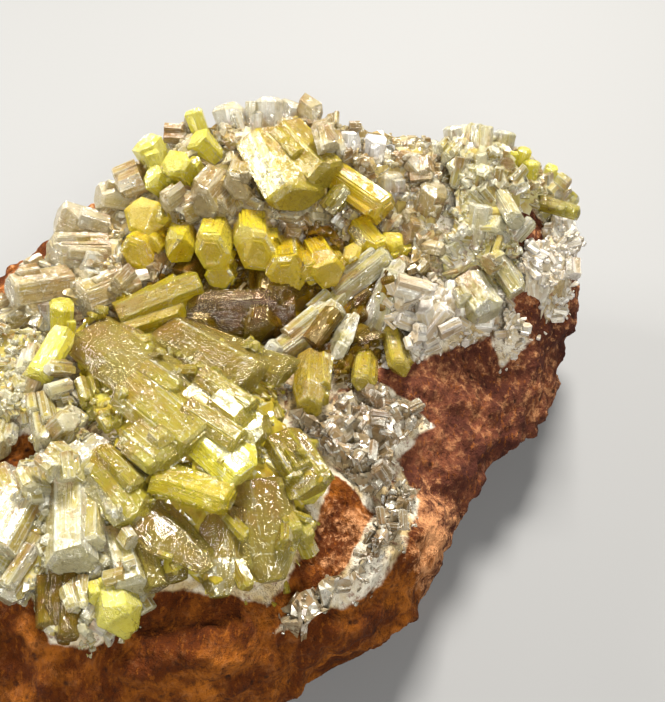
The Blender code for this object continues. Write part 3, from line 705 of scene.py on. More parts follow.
class PatternMaker:
    """Models one crystal of each habit and length by hand and reads it as a pattern."""

    SIDES = 6
    EDGE = 0.022  # width of the small bevel on every edge, in crystal widths

    def __init__(self, seed: int) -> None:
        """Starts the maker.

        Args:
            seed: Where its random draws start.
        """
        self.rng = random.Random(seed)

    def make(self, habit: Habit, length: float) -> Pattern:
        """Models one crystal.

        Args:
            habit: Its form.
            length: Its length in widths.

        Returns:
            The pattern.
        """
        deselect_all()
        bpy.ops.mesh.primitive_cylinder_add(
            vertices=self.SIDES, radius=0.5, depth=length, location=(0, 0, length / 2),
            rotation=(0, 0, math.pi / self.SIDES), end_fill_type="NGON",
        )
        obj = bpy.context.object
        bpy.ops.object.transform_apply(location=True, rotation=True, scale=False)
        bpy.ops.object.mode_set(mode="EDIT")
        shape = {
            Habit.PRISM: self._prism, Habit.STEPPED: self._stepped, Habit.STUB: self._stub,
            Habit.BARREL: self._barrel, Habit.BLADE: self._blade, Habit.GRAIN: self._grain,
        }[habit]
        shape(obj, length)
        if habit is not Habit.GRAIN:
            self._soften_edges(obj)
        bpy.ops.mesh.select_mode(type="FACE")
        bpy.ops.mesh.select_all(action="SELECT")
        bpy.ops.mesh.normals_make_consistent(inside=False)
        bpy.ops.object.mode_set(mode="OBJECT")
        return self._read(obj, length)

    def _bevel_end(self, obj: bpy.types.Object, length: float, inset: float, rise: float) -> None:
        """Cuts the top end's rim back to small pyramid faces."""
        select_faces(obj, lambda f: f.normal.z > 0.9 and f.calc_center_median().z > 0.9 * length)
        bpy.ops.mesh.inset(thickness=inset, depth=0.0)
        bpy.ops.transform.translate(value=(0, 0, rise))

    def _notch(self, share: float) -> None:
        """Cuts one corner of the crystal off with a slanted plane and closes the cut."""
        angle = self.rng.uniform(0, 2 * math.pi)
        tilt = self.rng.uniform(0.35, 1.1)
        normal = Vector((math.cos(angle) * math.cos(tilt), math.sin(angle) * math.cos(tilt), math.sin(tilt)))
        bpy.ops.mesh.select_all(action="SELECT")
        bpy.ops.mesh.bisect(plane_co=normal * 0.5 + Vector((0, 0, share)), plane_no=normal, clear_outer=True,
                            use_fill=True)

    def _prism(self, obj: bpy.types.Object, length: float) -> None:
        """A long prism with a bevelled end."""
        self._bevel_end(obj, length, 0.1, 0.06)
        for _ in range(self.rng.randint(1, 3)):
            self._notch(length - self.rng.uniform(0.3, 0.6))

    def _stepped(self, obj: bpy.types.Object, length: float) -> None:
        """A long prism with growth steps raised on its end and on some of its sides."""
        self._bevel_end(obj, length, 0.1, 0.05)
        bpy.ops.mesh.inset(thickness=0.07, depth=0.0)
        bpy.ops.mesh.extrude_region_move(TRANSFORM_OT_translate={"value": (0, 0, 0.045)})
        bpy.ops.mesh.inset(thickness=0.06, depth=-0.02)
        for turn in (0, 2, 3):
            way = Vector((math.cos((turn + 0.5) * math.pi / 3), math.sin((turn + 0.5) * math.pi / 3), 0))
            if select_faces(obj, lambda f: f.normal.dot(way) > 0.98 and f.calc_area() > 0.2):
                bpy.ops.mesh.inset(thickness=0.07, depth=0.0)
                bpy.ops.mesh.extrude_region_move(TRANSFORM_OT_translate={"value": tuple(way * 0.028)})
        for _ in range(self.rng.randint(1, 2)):
            self._notch(length - self.rng.uniform(0.3, 0.55))

    def _stub(self, obj: bpy.types.Object, length: float) -> None:
        """A short crystal, narrower at its root, with a broad flat end."""
        select_faces(obj, lambda f: f.normal.z < -0.9)
        bpy.ops.transform.resize(value=(0.86, 0.86, 1))
        self._bevel_end(obj, length, 0.12, 0.1)
        self._notch(length - 0.36)
        self._notch(length - 0.4)

    def _barrel(self, obj: bpy.types.Object, length: float) -> None:
        """A crystal that is fat in the middle and round-shouldered."""
        select_faces(obj, lambda f: abs(f.normal.z) > 0.9)
        bpy.ops.transform.resize(value=(0.74, 0.74, 1))
        self._bevel_end(obj, length, 0.07, 0.04)
        for share, width in ((0.3, 1.27), (0.74, 1.23)):
            bpy.ops.mesh.select_all(action="SELECT")
            bpy.ops.mesh.bisect(plane_co=(0, 0, share * length), plane_no=(0, 0, 1))
            bpy.ops.transform.resize(value=(width, width, 1))

    def _blade(self, obj: bpy.types.Object, length: float) -> None:
        """A crystal that narrows to a chisel point."""
        bpy.ops.mesh.select_all(action="SELECT")
        bpy.ops.mesh.bisect(plane_co=(0, 0, 0.6 * length), plane_no=(0, 0, 1))
        select_faces(obj, lambda f: f.normal.z > 0.9)
        bpy.ops.transform.resize(value=(0.36, 0.36, 1))
        bpy.ops.transform.translate(value=(self.rng.uniform(-0.2, 0.2), 0, 0))
        select_faces(obj, lambda f: f.normal.z < -0.9)
        bpy.ops.transform.resize(value=(0.85, 0.85, 1))

    def _grain(self, obj: bpy.types.Object, length: float) -> None:
        """The plainest crystal, for the beds: a prism with a bevelled end."""
        self._bevel_end(obj, length, self.rng.uniform(0.1, 0.2), self.rng.uniform(0.06, 0.16))

    def _soften_edges(self, obj: bpy.types.Object) -> None:
        """Gives every real edge a small bevel."""
        select_edges(obj, lambda e: e.is_manifold and e.calc_face_angle(0) > math.radians(12))
        bpy.ops.mesh.bevel(offset=self.EDGE, segments=1, affect="EDGES", clamp_overlap=True)

    def _read(self, obj: bpy.types.Object, length: float) -> Pattern:
        """Reads the modelled crystal as arrays and removes it."""
        bm = bmesh.new()
        bm.from_mesh(obj.data)
        bmesh.ops.remove_doubles(bm, verts=bm.verts, dist=0.002)
        layer = bm.faces.layers.int.new("facet")
        for face in bm.faces:
            face[layer] = face.index
        bmesh.ops.triangulate(bm, faces=bm.faces)
        points = np.array([v.co[:] for v in bm.verts])
        triangles = np.array([[v.index for v in f.verts] for f in bm.faces])
        facets = np.array([f[layer] for f in bm.faces])
        bm.free()
        mesh = obj.data
        bpy.data.objects.remove(obj)
        bpy.data.meshes.remove(mesh)
        return Pattern(points, triangles, facets, length)


class PatternBook:
    """The patterns of every habit, in several lengths and variants, modelled once."""

    LENGTHS = {
        Habit.PRISM: (1.0, 1.8, 3.0), Habit.STEPPED: (1.0, 1.8, 3.0), Habit.STUB: (0.75, 1.1),
        Habit.BARREL: (1.5,), Habit.BLADE: (2.2,), Habit.GRAIN: (0.8, 1.5, 2.4),
    }
    VARIANTS = 6

    def __init__(self, seed: int) -> None:
        """Models all the patterns.

        Args:
            seed: Where the random draws start.
        """
        maker = PatternMaker(seed)
        self.patterns = {
            habit: [[maker.make(habit, length) for _ in range(self.VARIANTS)] for length in lengths]
            for habit, lengths in self.LENGTHS.items()
        }

    def pick(self, habit: Habit, slenderness: float, rng: random.Random) -> Pattern:
        """Finds a pattern near a slenderness.

        Args:
            habit: The form wanted.
            slenderness: The length wanted, in widths.
            rng: The source of random draws.

        Returns:
            The pattern.
        """
        lengths = self.LENGTHS[habit]
        nearest = min(range(len(lengths)), key=lambda i: abs(math.log(lengths[i] / slenderness)))
        return rng.choice(self.patterns[habit][nearest])


class Pile:
    """Copies of patterns, gathered as arrays and joined into one mesh."""

    def __init__(self, seed: int) -> None:
        """Starts an empty pile.

        Args:
            seed: Where its random draws start.
        """
        self.rng = random.Random(seed)
        self.points: list[np.ndarray] = []
        self.local: list[np.ndarray] = []
        self.cell: list[np.ndarray] = []
        self.tints: list[np.ndarray] = []
        self.triangles: list[np.ndarray] = []
        self.facets: list[np.ndarray] = []
        self.count = 0

    def add(self, pattern: Pattern, root: Vector, way: Matrix, size: Sequence[float], tint: float,
            skew: float = 0.06) -> None:
        """Adds one copy of a pattern.

        Args:
            pattern: What is copied.
            root: Where its root is, in metres.
            way: The turn that points it along its axis.
            size: Its width, thickness and length, in millimetres.
            tint: Its place between its finish's two colours.
            skew: How uneven its hexagon is.
        """
        rng = self.rng
        wide, thick, long = size
        points = pattern.points.copy()
        self.cell.append(points / (1.0, 1.0, pattern.length))
        uneven = 1 + skew * np.sin(np.arctan2(points[:, 1], points[:, 0]) * 2 + rng.uniform(0, 6.28))
        points[:, 0] *= wide * uneven
        points[:, 1] *= thick * uneven
        points[:, 2] *= long / pattern.length
        taper = 1 - rng.uniform(-0.02, 0.07) * points[:, 2] / long
        points[:, :2] *= taper[:, None]
        turn = np.array(way.to_3x3())
        self.points.append(points @ turn.T * MM + np.array(root))
        shift = np.array([rng.uniform(0, 60) for _ in range(3)])
        self.local.append(points + shift)
        self.tints.append(np.full(len(points), min(max(tint, 0.0), 1.0)))
        self.triangles.append(pattern.triangles + self.count)
        shades = np.array([rng.random() for _ in range(int(pattern.facets.max()) + 1)])
        self.facets.append(shades[pattern.facets])
        self.count += len(points)

    def build(self, name: str, material: bpy.types.Material) -> bpy.types.Object:
        """Joins the copies into one object.

        Args:
            name: The object's name.
            material: Its material.

        Returns:
            The object, at the origin.
        """
        mesh = bpy.data.meshes.new(name)
        points, triangles = np.concatenate(self.points), np.concatenate(self.triangles)
        mesh.from_pydata(points.tolist(), [], triangles.tolist())
        self.store(mesh, "local", "FLOAT_VECTOR", "POINT", np.concatenate(self.local))
        self.store(mesh, "cell", "FLOAT_VECTOR", "POINT", np.concatenate(self.cell))
        self.store(mesh, "tint", "FLOAT", "POINT", np.concatenate(self.tints))
        self.store(mesh, "facet", "FLOAT", "FACE", np.concatenate(self.facets))
        mesh.materials.append(material)
        obj = bpy.data.objects.new(name, mesh)
        bpy.context.scene.collection.objects.link(obj)
        return obj

    @staticmethod
    def store(mesh: bpy.types.Mesh, name: str, kind: str, domain: str, values: np.ndarray) -> None:
        """Stores an attribute on a mesh."""
        attribute = mesh.attributes.new(name, kind, domain)
        key = "vector" if kind == "FLOAT_VECTOR" else "value"
        attribute.data.foreach_set(key, np.ascontiguousarray(values, dtype=np.float32).ravel())


# ---------------------------------------------------------------- the rock


@dataclass
class Rock:
    """The lump of limonite, and the ground that everything grows on."""

    node: str = "matrix"
    voxel: float = 0.36  # size of the even mesh that the roughness is worked into
    coarse: float = 1.3  # height of the broad lumps
    knobs: float = 1.2  # height of the knobs
    pits: float = 0.9  # depth of the fine pits
    foot: float = 1.4  # height over the cut where the roughness is whole
    finish: RockFinish = field(default_factory=RockFinish)
    liver_from: float = 4.0  # the rock turns purple-brown from here towards +X

    def __post_init__(self) -> None:
        """Reads the rock's solid as a surface to cast rays at."""
        bm = bmesh.new()
        bm.from_mesh(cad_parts[self.node].data)
        bmesh.ops.remove_doubles(bm, verts=bm.verts, dist=1e-6)
        self.solid = BVHTree.FromBMesh(bm)
        bm.free()
        self.skin = self.solid

    def build(self, beds: Sequence["Bed"]) -> bpy.types.Object:
        """Models the rock from its solid: even mesh, lumps, knobs and pits.

        Args:
            beds: The beds of crystals on it, under which it stays as it is.

        Returns:
            The rock.
        """
        take(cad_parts[self.node])
        bpy.ops.object.duplicate()
        obj = bpy.context.object
        obj.name = obj.data.name = "limonite_lump"
        obj.parent = None
        for key in [key for key in obj.keys() if key.startswith("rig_")]:
            del obj[key]
        self._merge(obj)
        even = obj.modifiers.new("even", "REMESH")
        even.mode = "VOXEL"
        even.voxel_size = self.voxel * MM
        smooth = obj.modifiers.new("smooth", "SMOOTH")
        smooth.factor = 0.5
        smooth.iterations = 6
        apply_all(obj)
        self._weight_skin(obj, beds)
        self._displace(obj)
        self._flatten_foot(obj)
        obj.data.shade_smooth()
        return obj

    @staticmethod
    def _merge(obj: bpy.types.Object) -> None:
        """Merges the solid's loose triangles."""
        take(obj)
        bpy.ops.object.mode_set(mode="EDIT")
        bpy.ops.mesh.select_all(action="SELECT")
        bpy.ops.mesh.remove_doubles(threshold=1e-6)
        bpy.ops.object.mode_set(mode="OBJECT")

    def _weight_skin(self, obj: bpy.types.Object, beds: Sequence["Bed"]) -> None:
        """Marks where the rock is rough: away from the flat cut and from the beds."""
        group = obj.vertex_groups.new(name="skin")
        points = points_of(obj.data)
        shares = np.clip(points[:, 2] / self.foot, 0, 1) * (1 - 0.75 * covered_by(beds, points))
        for index, share in enumerate(shares):
            group.add([index], float(share), "REPLACE")

    def _displace(self, obj: bpy.types.Object) -> None:
        """Raises the lumps and knobs and sinks the pits."""
        layers = (
            ("lumps", "CLOUDS", 5.5, self.coarse, 3), ("knobs", "VORONOI", 2.4, self.knobs, 0),
            ("pits", "CLOUDS", 1.1, self.pits, 4),
        )
        for name, kind, grain, height, depth in layers:
            texture = bpy.data.textures.new(name, kind)
            texture.noise_scale = grain * MM
            if kind == "CLOUDS":
                texture.noise_depth = depth
                texture.noise_basis = "ORIGINAL_PERLIN"
            else:
                texture.distance_metric = "DISTANCE"
                texture.noise_intensity = 1.0
            step = obj.modifiers.new(name, "DISPLACE")
            step.texture = texture
            step.texture_coords = "LOCAL"
            step.direction = "NORMAL"
            step.vertex_group = "skin"
            step.mid_level = 0.5 if kind == "CLOUDS" else 0.35
            step.strength = (height if kind == "CLOUDS" else -height) * MM
        apply_all(obj)

    @staticmethod
    def _flatten_foot(obj: bpy.types.Object) -> None:
        """Sets the points of the flat cut exactly on it."""
        for vert in obj.data.vertices:
            if vert.co.z < 0.12 * MM:
                vert.co.z = 0.0

    def dress(self, obj: bpy.types.Object, beds: Sequence["Bed"]) -> None:
        """Marks where the rock is under crystals and gives it its finish.

        Args:
            obj: The rock.
            beds: The beds of crystals on it.
        """
        points = points_of(obj.data)
        covered = covered_by(beds, points) * (1 - in_spots(BARE_SPOTS, points))
        side = np.clip((points[:, 0] - self.liver_from) / 14 + 0.25, 0, 1) * np.clip((points[:, 1] + 18) / 10, 0, 1)
        dusty = np.clip((points[:, 1] + 8) / 16, 0, 1) * np.clip((np.abs(points[:, 0]) - 4) / 12, 0, 1)
        dusty = np.maximum(dusty, 2.2 * in_spots(DUST_SPOTS, points))
        for name, values in (("covered", covered), ("liver_side", side), ("dusty", dusty)):
            Pile.store(obj.data, name, "FLOAT", "POINT", values)
        obj.data.materials.clear()
        obj.data.materials.append(self.finish.material("limonite"))
        finish_piece(obj, [self.node])

    def cover(self, pieces: Sequence[bpy.types.Object]) -> None:
        """Takes the rock and the masses on it as the ground that fine crystals are sown on.

        Args:
            pieces: The rock and the masses.
        """
        bm = bmesh.new()
        for piece in pieces:
            bm.from_mesh(piece.data)
        self.skin = BVHTree.FromBMesh(bm)
        bm.free()

    def root(self, crystal: Crystal) -> Vector:
        """The point over the rock's solid that a crystal's root is at."""
        above = Vector((crystal.x * MM, crystal.y * MM, 0.1))
        hit = self.solid.ray_cast(above, Vector((0, 0, -1)))[0]
        return hit + Vector((0, 0, crystal.lift * MM))

    def ground(self, x: float, y: float) -> tuple[Vector, Vector] | None:
        """The rough surface's point and normal under a place, in metres, or nothing off the rock."""
        hit = self.skin.ray_cast(Vector((x * MM, y * MM, 0.1)), Vector((0, 0, -1)))
        return (hit[0], hit[1]) if hit[0] is not None else None


# ---------------------------------------------------------------- clusters and beds


@dataclass
class Bed:
    """A bed of fine crystals: its outline seen from above, and how its crystals are sown."""

    outline: Sequence[Point]
    medium: int  # how many crystals of the larger kind
    fine: int  # how many of the smaller kind
    medium_width: tuple[float, float] = (1.2, 2.4)
    fine_width: tuple[float, float] = (0.35, 0.95)
    azimuth: float = 90.0  # the way that most of them lean
    spread: float = 180.0  # how far from it they may turn
    lean: tuple[float, float] = (45.0, 85.0)  # away from the rock's normal
    slender: tuple[float, float] = (0.9, 2.0)  # length in widths
    flatness: tuple[float, float] = (0.6, 1.0)
    tint: tuple[float, float] = (0.0, 1.0)
    rise: float = 0.3  # how far over the rock the larger ones may stand, in the bed's middle
    overhang: float = 0.5  # how far tips may reach past the outline
    bundle: int = 3  # how many of the larger ones grow side by side

    def depth_inside(self, places: np.ndarray) -> np.ndarray:
        """How far inside the outline places are.

        Args:
            places: Points seen from above, in millimetres.

        Returns:
            Millimetres from the edge: positive inside, negative outside.
        """
        x, y = places[:, 0], places[:, 1]
        inside = np.zeros(len(places), dtype=bool)
        nearest = np.full(len(places), 1e9)
        corners = list(self.outline)
        for (ax, ay), (bx, by) in zip(corners, corners[1:] + corners[:1]):
            if ay != by:
                crosses = ((ay > y) != (by > y)) & (x < ax + (y - ay) / (by - ay) * (bx - ax))
                inside ^= crosses
            run = np.array([bx - ax, by - ay])
            share = np.clip(((x - ax) * run[0] + (y - ay) * run[1]) / run.dot(run), 0, 1)
            nearest = np.minimum(nearest, np.hypot(x - ax - share * run[0], y - ay - share * run[1]))
        return np.where(inside, nearest, -nearest)

    def sow(self, pile: Pile, book: PatternBook, rock: Rock, keep_off: Callable[[Vector], bool]) -> None:
        """Adds the bed's crystals to a pile.

        Args:
            pile: Where they are gathered.
            book: The patterns they are copied from.
            rock: What they grow on.
            keep_off: Says whether a point is inside a crystal that stands out.
        """
        self._sow_kind(pile, book, rock, keep_off, self.medium, self.medium_width, 0.0)
        self._sow_kind(pile, book, rock, keep_off, self.fine, self.fine_width, 0.1)

    def _sow_kind(self, pile: Pile, book: PatternBook, rock: Rock, keep_off: Callable[[Vector], bool], count: int,
                  widths: tuple[float, float], past_edge: float) -> None:
        """Sows one size of crystal."""
        rng = pile.rng
        xs, ys = [p[0] for p in self.outline], [p[1] for p in self.outline]
        made, tries = 0, 0
        while made < count and tries < count * 12:
            tries += 1
            x, y = rng.uniform(min(xs) - 1, max(xs) + 1), rng.uniform(min(ys) - 1, max(ys) + 1)
            wobble = 0.9 * noise.noise(Vector((x * 0.5, y * 0.5, 3.0)))
            depth = float(self.depth_inside(np.array([[x, y]]))[0]) + wobble
            if depth < -past_edge:
                continue
            if in_spots(BARE_SPOTS, np.array([[x, y]]))[0] > 0.3:
                continue
            found = rock.ground(x, y)
            if found is None or rng.random() > 0.4 / max(found[1].z, 0.12):
                continue
            width = widths[0] + (widths[1] - widths[0]) * rng.random() ** 2.6
            width *= 0.55 + 0.45 * min(max((depth + 0.4) / 1.5, 0.0), 1.0)
            length = width * rng.uniform(*self.slender)
            way = self._way(found[1], rng)
            raised = rng.uniform(0, self.rise) * min(max(depth / 2.5, 0.0), 1.0)
            root = found[0] + found[1] * (raised - width * 0.5) * MM
            tip = root + way.to_3x3() @ Vector((0, 0, length * MM))
            beyond = float(self.depth_inside(np.array([tip[:2]]) / MM)[0]) < -past_edge - self.overhang
            if beyond or keep_off(tip) or keep_off(root + (tip - root) * 0.4):
                continue
            made += self._bundle(pile, book, root, way, width, length)

    def _bundle(self, pile: Pile, book: PatternBook, root: Vector, way: Matrix, width: float, length: float) -> int:
        """Adds one grain, or a few larger crystals grown side by side, and says how many."""
        rng = pile.rng
        tint = rng.uniform(*self.tint)
        if width < 1.1:
            pattern = book.pick(Habit.GRAIN, length / width, rng)
            pile.add(pattern, root, way, (width, width * rng.uniform(*self.flatness), length), tint, 0.1)
            return 1
        count = rng.randint(1, self.bundle)
        for number in range(count):
            habit = rng.choice((Habit.PRISM, Habit.STEPPED, Habit.STUB))
            share = 1.0 if number == 0 else rng.uniform(0.45, 0.85)
            pattern = book.pick(habit, length / (width * share), rng)
            around, out = rng.uniform(0, 2 * math.pi), 0.0 if number == 0 else width * rng.uniform(0.35, 0.6)
            offset = Vector((out * math.cos(around), out * math.sin(around), 0)) * MM
            size = (width * share, width * share * rng.uniform(*self.flatness), length * rng.uniform(0.7, 1.05))
            pile.add(pattern, root + way.to_3x3() @ offset, way, size, tint + rng.uniform(-0.15, 0.15), 0.1)
        return count

    def _way(self, normal: Vector, rng: random.Random) -> Matrix:
        """A random turn that points a crystal out of the rock."""
        azimuth = math.radians(self.azimuth + rng.uniform(-self.spread, self.spread))
        side = Vector((math.cos(azimuth), math.sin(azimuth), 0))
        side = (side - normal * side.dot(normal)).normalized()
        lean = math.radians(rng.uniform(*self.lean))
        axis = (normal * math.cos(lean) + side * math.sin(lean)).normalized()
        turn = axis.to_track_quat("Z", "Y").to_matrix().to_4x4()
        return turn @ Matrix.Rotation(rng.uniform(0, math.pi), 4, "Z")


def covered_by(beds: Sequence[Bed], points: np.ndarray) -> np.ndarray:
    """How far points of the rock are under beds.

    Args:
        beds: The beds.
        points: The points, in millimetres.

    Returns:
        From 0 in the open to 1 well inside a bed.
    """
    covered = np.zeros(len(points))
    for bed in beds:
        covered = np.maximum(covered, np.clip(0.5 + bed.depth_inside(points[:, :2]) / 1.6, 0, 1))
    return covered * np.clip((points[:, 2] - 10) / 3, 0, 1)


@dataclass
class Mass:
    """The close-grown mass that a bed's crystals stand in: its solid, worked into small broken faces."""

    voxel: float = 0.34
    sink: float = 0.55  # how far it is drawn in, so that crystals stand out of it
    chunk: float = 1.5  # size of its lumps
    relief: float = 0.8  # their height
    wear: float = 2.2  # how deep it is worn there
    lowest: float = 0.3  # how near the flat cut it may come
    patchy: float = 0.0  # share of it that is worn through to the rock
    kept: float = 0.34  # share of the even mesh's faces that is kept as broken faces

    def build(self, name: str, nodes: Sequence[str], material: bpy.types.Material) -> bpy.types.Object:
        """Models the mass.

        Args:
            name: Its name.
            nodes: The CAD nodes whose solids it follows.
            material: Its material.

        Returns:
            The mass, with the attributes that the crystals' finishes read.
        """
        copies = []
        for node in nodes:
            take(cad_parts[node])
            bpy.ops.object.duplicate()
            copies.append(bpy.context.object)
        for copy in copies:
            copy.select_set(True)
            copy.parent = None
        bpy.ops.object.join()
        obj = bpy.context.object
        obj.name = obj.data.name = name
        for key in [key for key in obj.keys() if key.startswith("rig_")]:
            del obj[key]
        bpy.ops.object.mode_set(mode="EDIT")
        bpy.ops.mesh.select_all(action="SELECT")
        bpy.ops.mesh.remove_doubles(threshold=1e-6)
        bpy.ops.object.mode_set(mode="OBJECT")
        self._work(obj)
        self._store(obj)
        obj.data.materials.clear()
        obj.data.materials.append(material)
        return obj

    def _work(self, obj: bpy.types.Object) -> None:
        """Evens the mesh, raises its lumps and breaks it into faces."""
        even = obj.modifiers.new("even", "REMESH")
        even.mode = "VOXEL"
        even.voxel_size = self.voxel * MM
        texture = bpy.data.textures.new("chunks", "VORONOI")
        texture.noise_scale = self.chunk * MM
        chunks = obj.modifiers.new("chunks", "DISPLACE")
        chunks.texture = texture
        chunks.texture_coords = "LOCAL"
        chunks.mid_level = 0.5 - self.sink / self.relief
        chunks.strength = -self.relief * MM
        fewer = obj.modifiers.new("fewer", "DECIMATE")
        fewer.ratio = self.kept
        apply_all(obj)
        points = points_of(obj.data)
        worn = np.array([0.5 + 0.7 * noise.noise(Vector(point) * 0.75) for point in points])
        worn = np.maximum(np.clip((self.patchy - worn) * 6, 0, 1), in_spots(BARE_SPOTS, points))
        for vert, depth in zip(obj.data.vertices, worn * self.wear):
            vert.co.z = max(vert.co.z - depth * MM, self.lowest * MM)
        obj.data.shade_flat()

    @staticmethod
    def _store(obj: bpy.types.Object) -> None:
        """Stores the attributes that a crystal's finish reads."""
        mesh = obj.data
        points = points_of(mesh)
        tints = np.array([0.5 + 0.7 * noise.noise(Vector(p) * 0.45) for p in points])
        rng = np.random.default_rng(3)
        Pile.store(mesh, "local", "FLOAT_VECTOR", "POINT", points)
        Pile.store(mesh, "tint", "FLOAT", "POINT", np.clip(tints, 0, 1))
        Pile.store(mesh, "facet", "FLOAT", "FACE", rng.random(len(mesh.polygons)))


@dataclass
class Cluster:
    """Crystals grown together, with the bed they stand in: one or two pieces for one CAD piece."""

    name: str
    nodes: Sequence[str]
    finish: CrystalFinish
    crystals: Sequence[Crystal] = ()
    bed: Bed | None = None
    bed_finish: CrystalFinish | None = None
    mass: Mass = field(default_factory=Mass)
    companions: int = 3  # smaller parallel crystals grown on each crystal that stands out
    seed: int = 1

    def build_mass(self) -> bpy.types.Object | None:
        """Models the mass under the cluster's bed, if it has one, and ties it to the frame."""
        if not self.bed:
            return None
        finish = self.bed_finish or self.finish
        mass = self.mass.build(self.name + "_mass", self.nodes, finish.material(self.name + "_mass", Cut.MASS))
        finish_piece(mass, self.nodes)
        return mass

    def build(self, book: PatternBook, rock: Rock, keep_off: Callable[[Vector], bool]) -> list[bpy.types.Object]:
        """Models the cluster's crystals and ties them to the frame.

        Args:
            book: The patterns its crystals are copied from.
            rock: What it grows on.
            keep_off: Says whether a point is inside a crystal that stands out.

        Returns:
            Its pieces.
        """
        made = []
        if self.crystals:
            pile = Pile(self.seed)
            for crystal in self.crystals:
                self._plant(pile, book, rock, crystal)
            name = self.name + "_crystals"
            made.append(pile.build(name, self.finish.material(name, Cut.CLEAR)))
            finish_piece(made[-1], self.nodes)
        if self.bed:
            finish = self.bed_finish or self.finish
            pile = Pile(self.seed + 500)
            self.bed.sow(pile, book, rock, keep_off)
            made.append(pile.build(self.name + "_bed", finish.material(self.name + "_bed", Cut.PLAIN)))
            finish_piece(made[-1], self.nodes)
        return made

    def _plant(self, pile: Pile, book: PatternBook, rock: Rock, crystal: Crystal) -> None:
        """Adds one crystal that stands out to the pile."""
        habit = crystal.habit
        if habit is Habit.PRISM and pile.rng.random() < 0.5:
            habit = Habit.STEPPED
        pattern = book.pick(habit, crystal.length / crystal.width, pile.rng)
        root, way = rock.root(crystal), way_of(crystal)
        thick = crystal.width * crystal.flat * pile.rng.uniform(0.78, 1.0)
        pile.add(pattern, root, way, (crystal.width, thick, crystal.length), crystal.tint)
        for _ in range(self.companions):
            self._grow_beside(pile, book, crystal, root, way)

    @staticmethod
    def _grow_beside(pile: Pile, book: PatternBook, crystal: Crystal, root: Vector, way: Matrix) -> None:
        """Adds a smaller crystal, parallel to one that stands out and partly inside it."""
        rng = pile.rng
        width = crystal.width * rng.uniform(0.3, 0.62)
        length = crystal.length * rng.uniform(0.35, 0.8)
        around = rng.uniform(0, 2 * math.pi)
        out = crystal.width * 0.5 - width * rng.uniform(0.1, 0.4)
        start = rng.uniform(-0.1, 1.0) * (crystal.length - length)
        offset = Vector((out * math.cos(around), out * crystal.flat * math.sin(around), start)) * MM
        turn = way @ Euler([math.radians(rng.uniform(-4, 4)) for _ in range(3)]).to_matrix().to_4x4()
        habit = rng.choice((Habit.PRISM, Habit.STEPPED))
        pattern = book.pick(habit, length / width, rng)
        size = (width, width * rng.uniform(0.7, 1.0), length)
        pile.add(pattern, root + way.to_3x3() @ offset, turn, size, crystal.tint + rng.uniform(-0.2, 0.25))


def way_of(crystal: Crystal) -> Matrix:
    """The turn that points a crystal along its azimuth and lean."""
    turn = Matrix.Rotation(math.radians(crystal.azimuth), 4, "Z")
    tilt = Matrix.Rotation(math.radians(crystal.lean), 4, "Y")
    return turn @ tilt @ Matrix.Rotation(math.radians(crystal.roll), 4, "Z")


class Footprints:
    """The room that the crystals that stand out take up."""

    def __init__(self, rock: Rock, clusters: Iterable[Cluster]) -> None:
        """Lists each crystal's axis and radius.

        Args:
            rock: What they grow on.
            clusters: Whose crystals they are.
        """
        crystals = [crystal for cluster in clusters for crystal in cluster.crystals]
        roots = [rock.root(crystal) for crystal in crystals]
        tips = [r + way_of(c).to_3x3() @ Vector((0, 0, c.length * MM)) for r, c in zip(roots, crystals)]
        self.roots, self.tips = np.array(roots), np.array(tips)
        self.radii = np.array([c.width * math.sqrt(c.flat) * 0.4 * MM for c in crystals])

    def holds(self, point: Vector) -> bool:
        """Whether a point is inside one of them."""
        run = self.tips - self.roots
        apart = np.array(point) - self.roots
        share = np.clip((apart * run).sum(1) / (run * run).sum(1), 0, 1)
        gap = np.linalg.norm(apart - share[:, None] * run, axis=1)
        return bool((gap < self.radii).any())


def named(prefix: str) -> list[str]:
    """The CAD nodes of one cluster: the node of that name, or its numbered ones."""
    nodes = sorted(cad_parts)
    return [n for n in nodes if n == prefix or (n.startswith(prefix + "_") and n[len(prefix) + 1:].isdigit())]


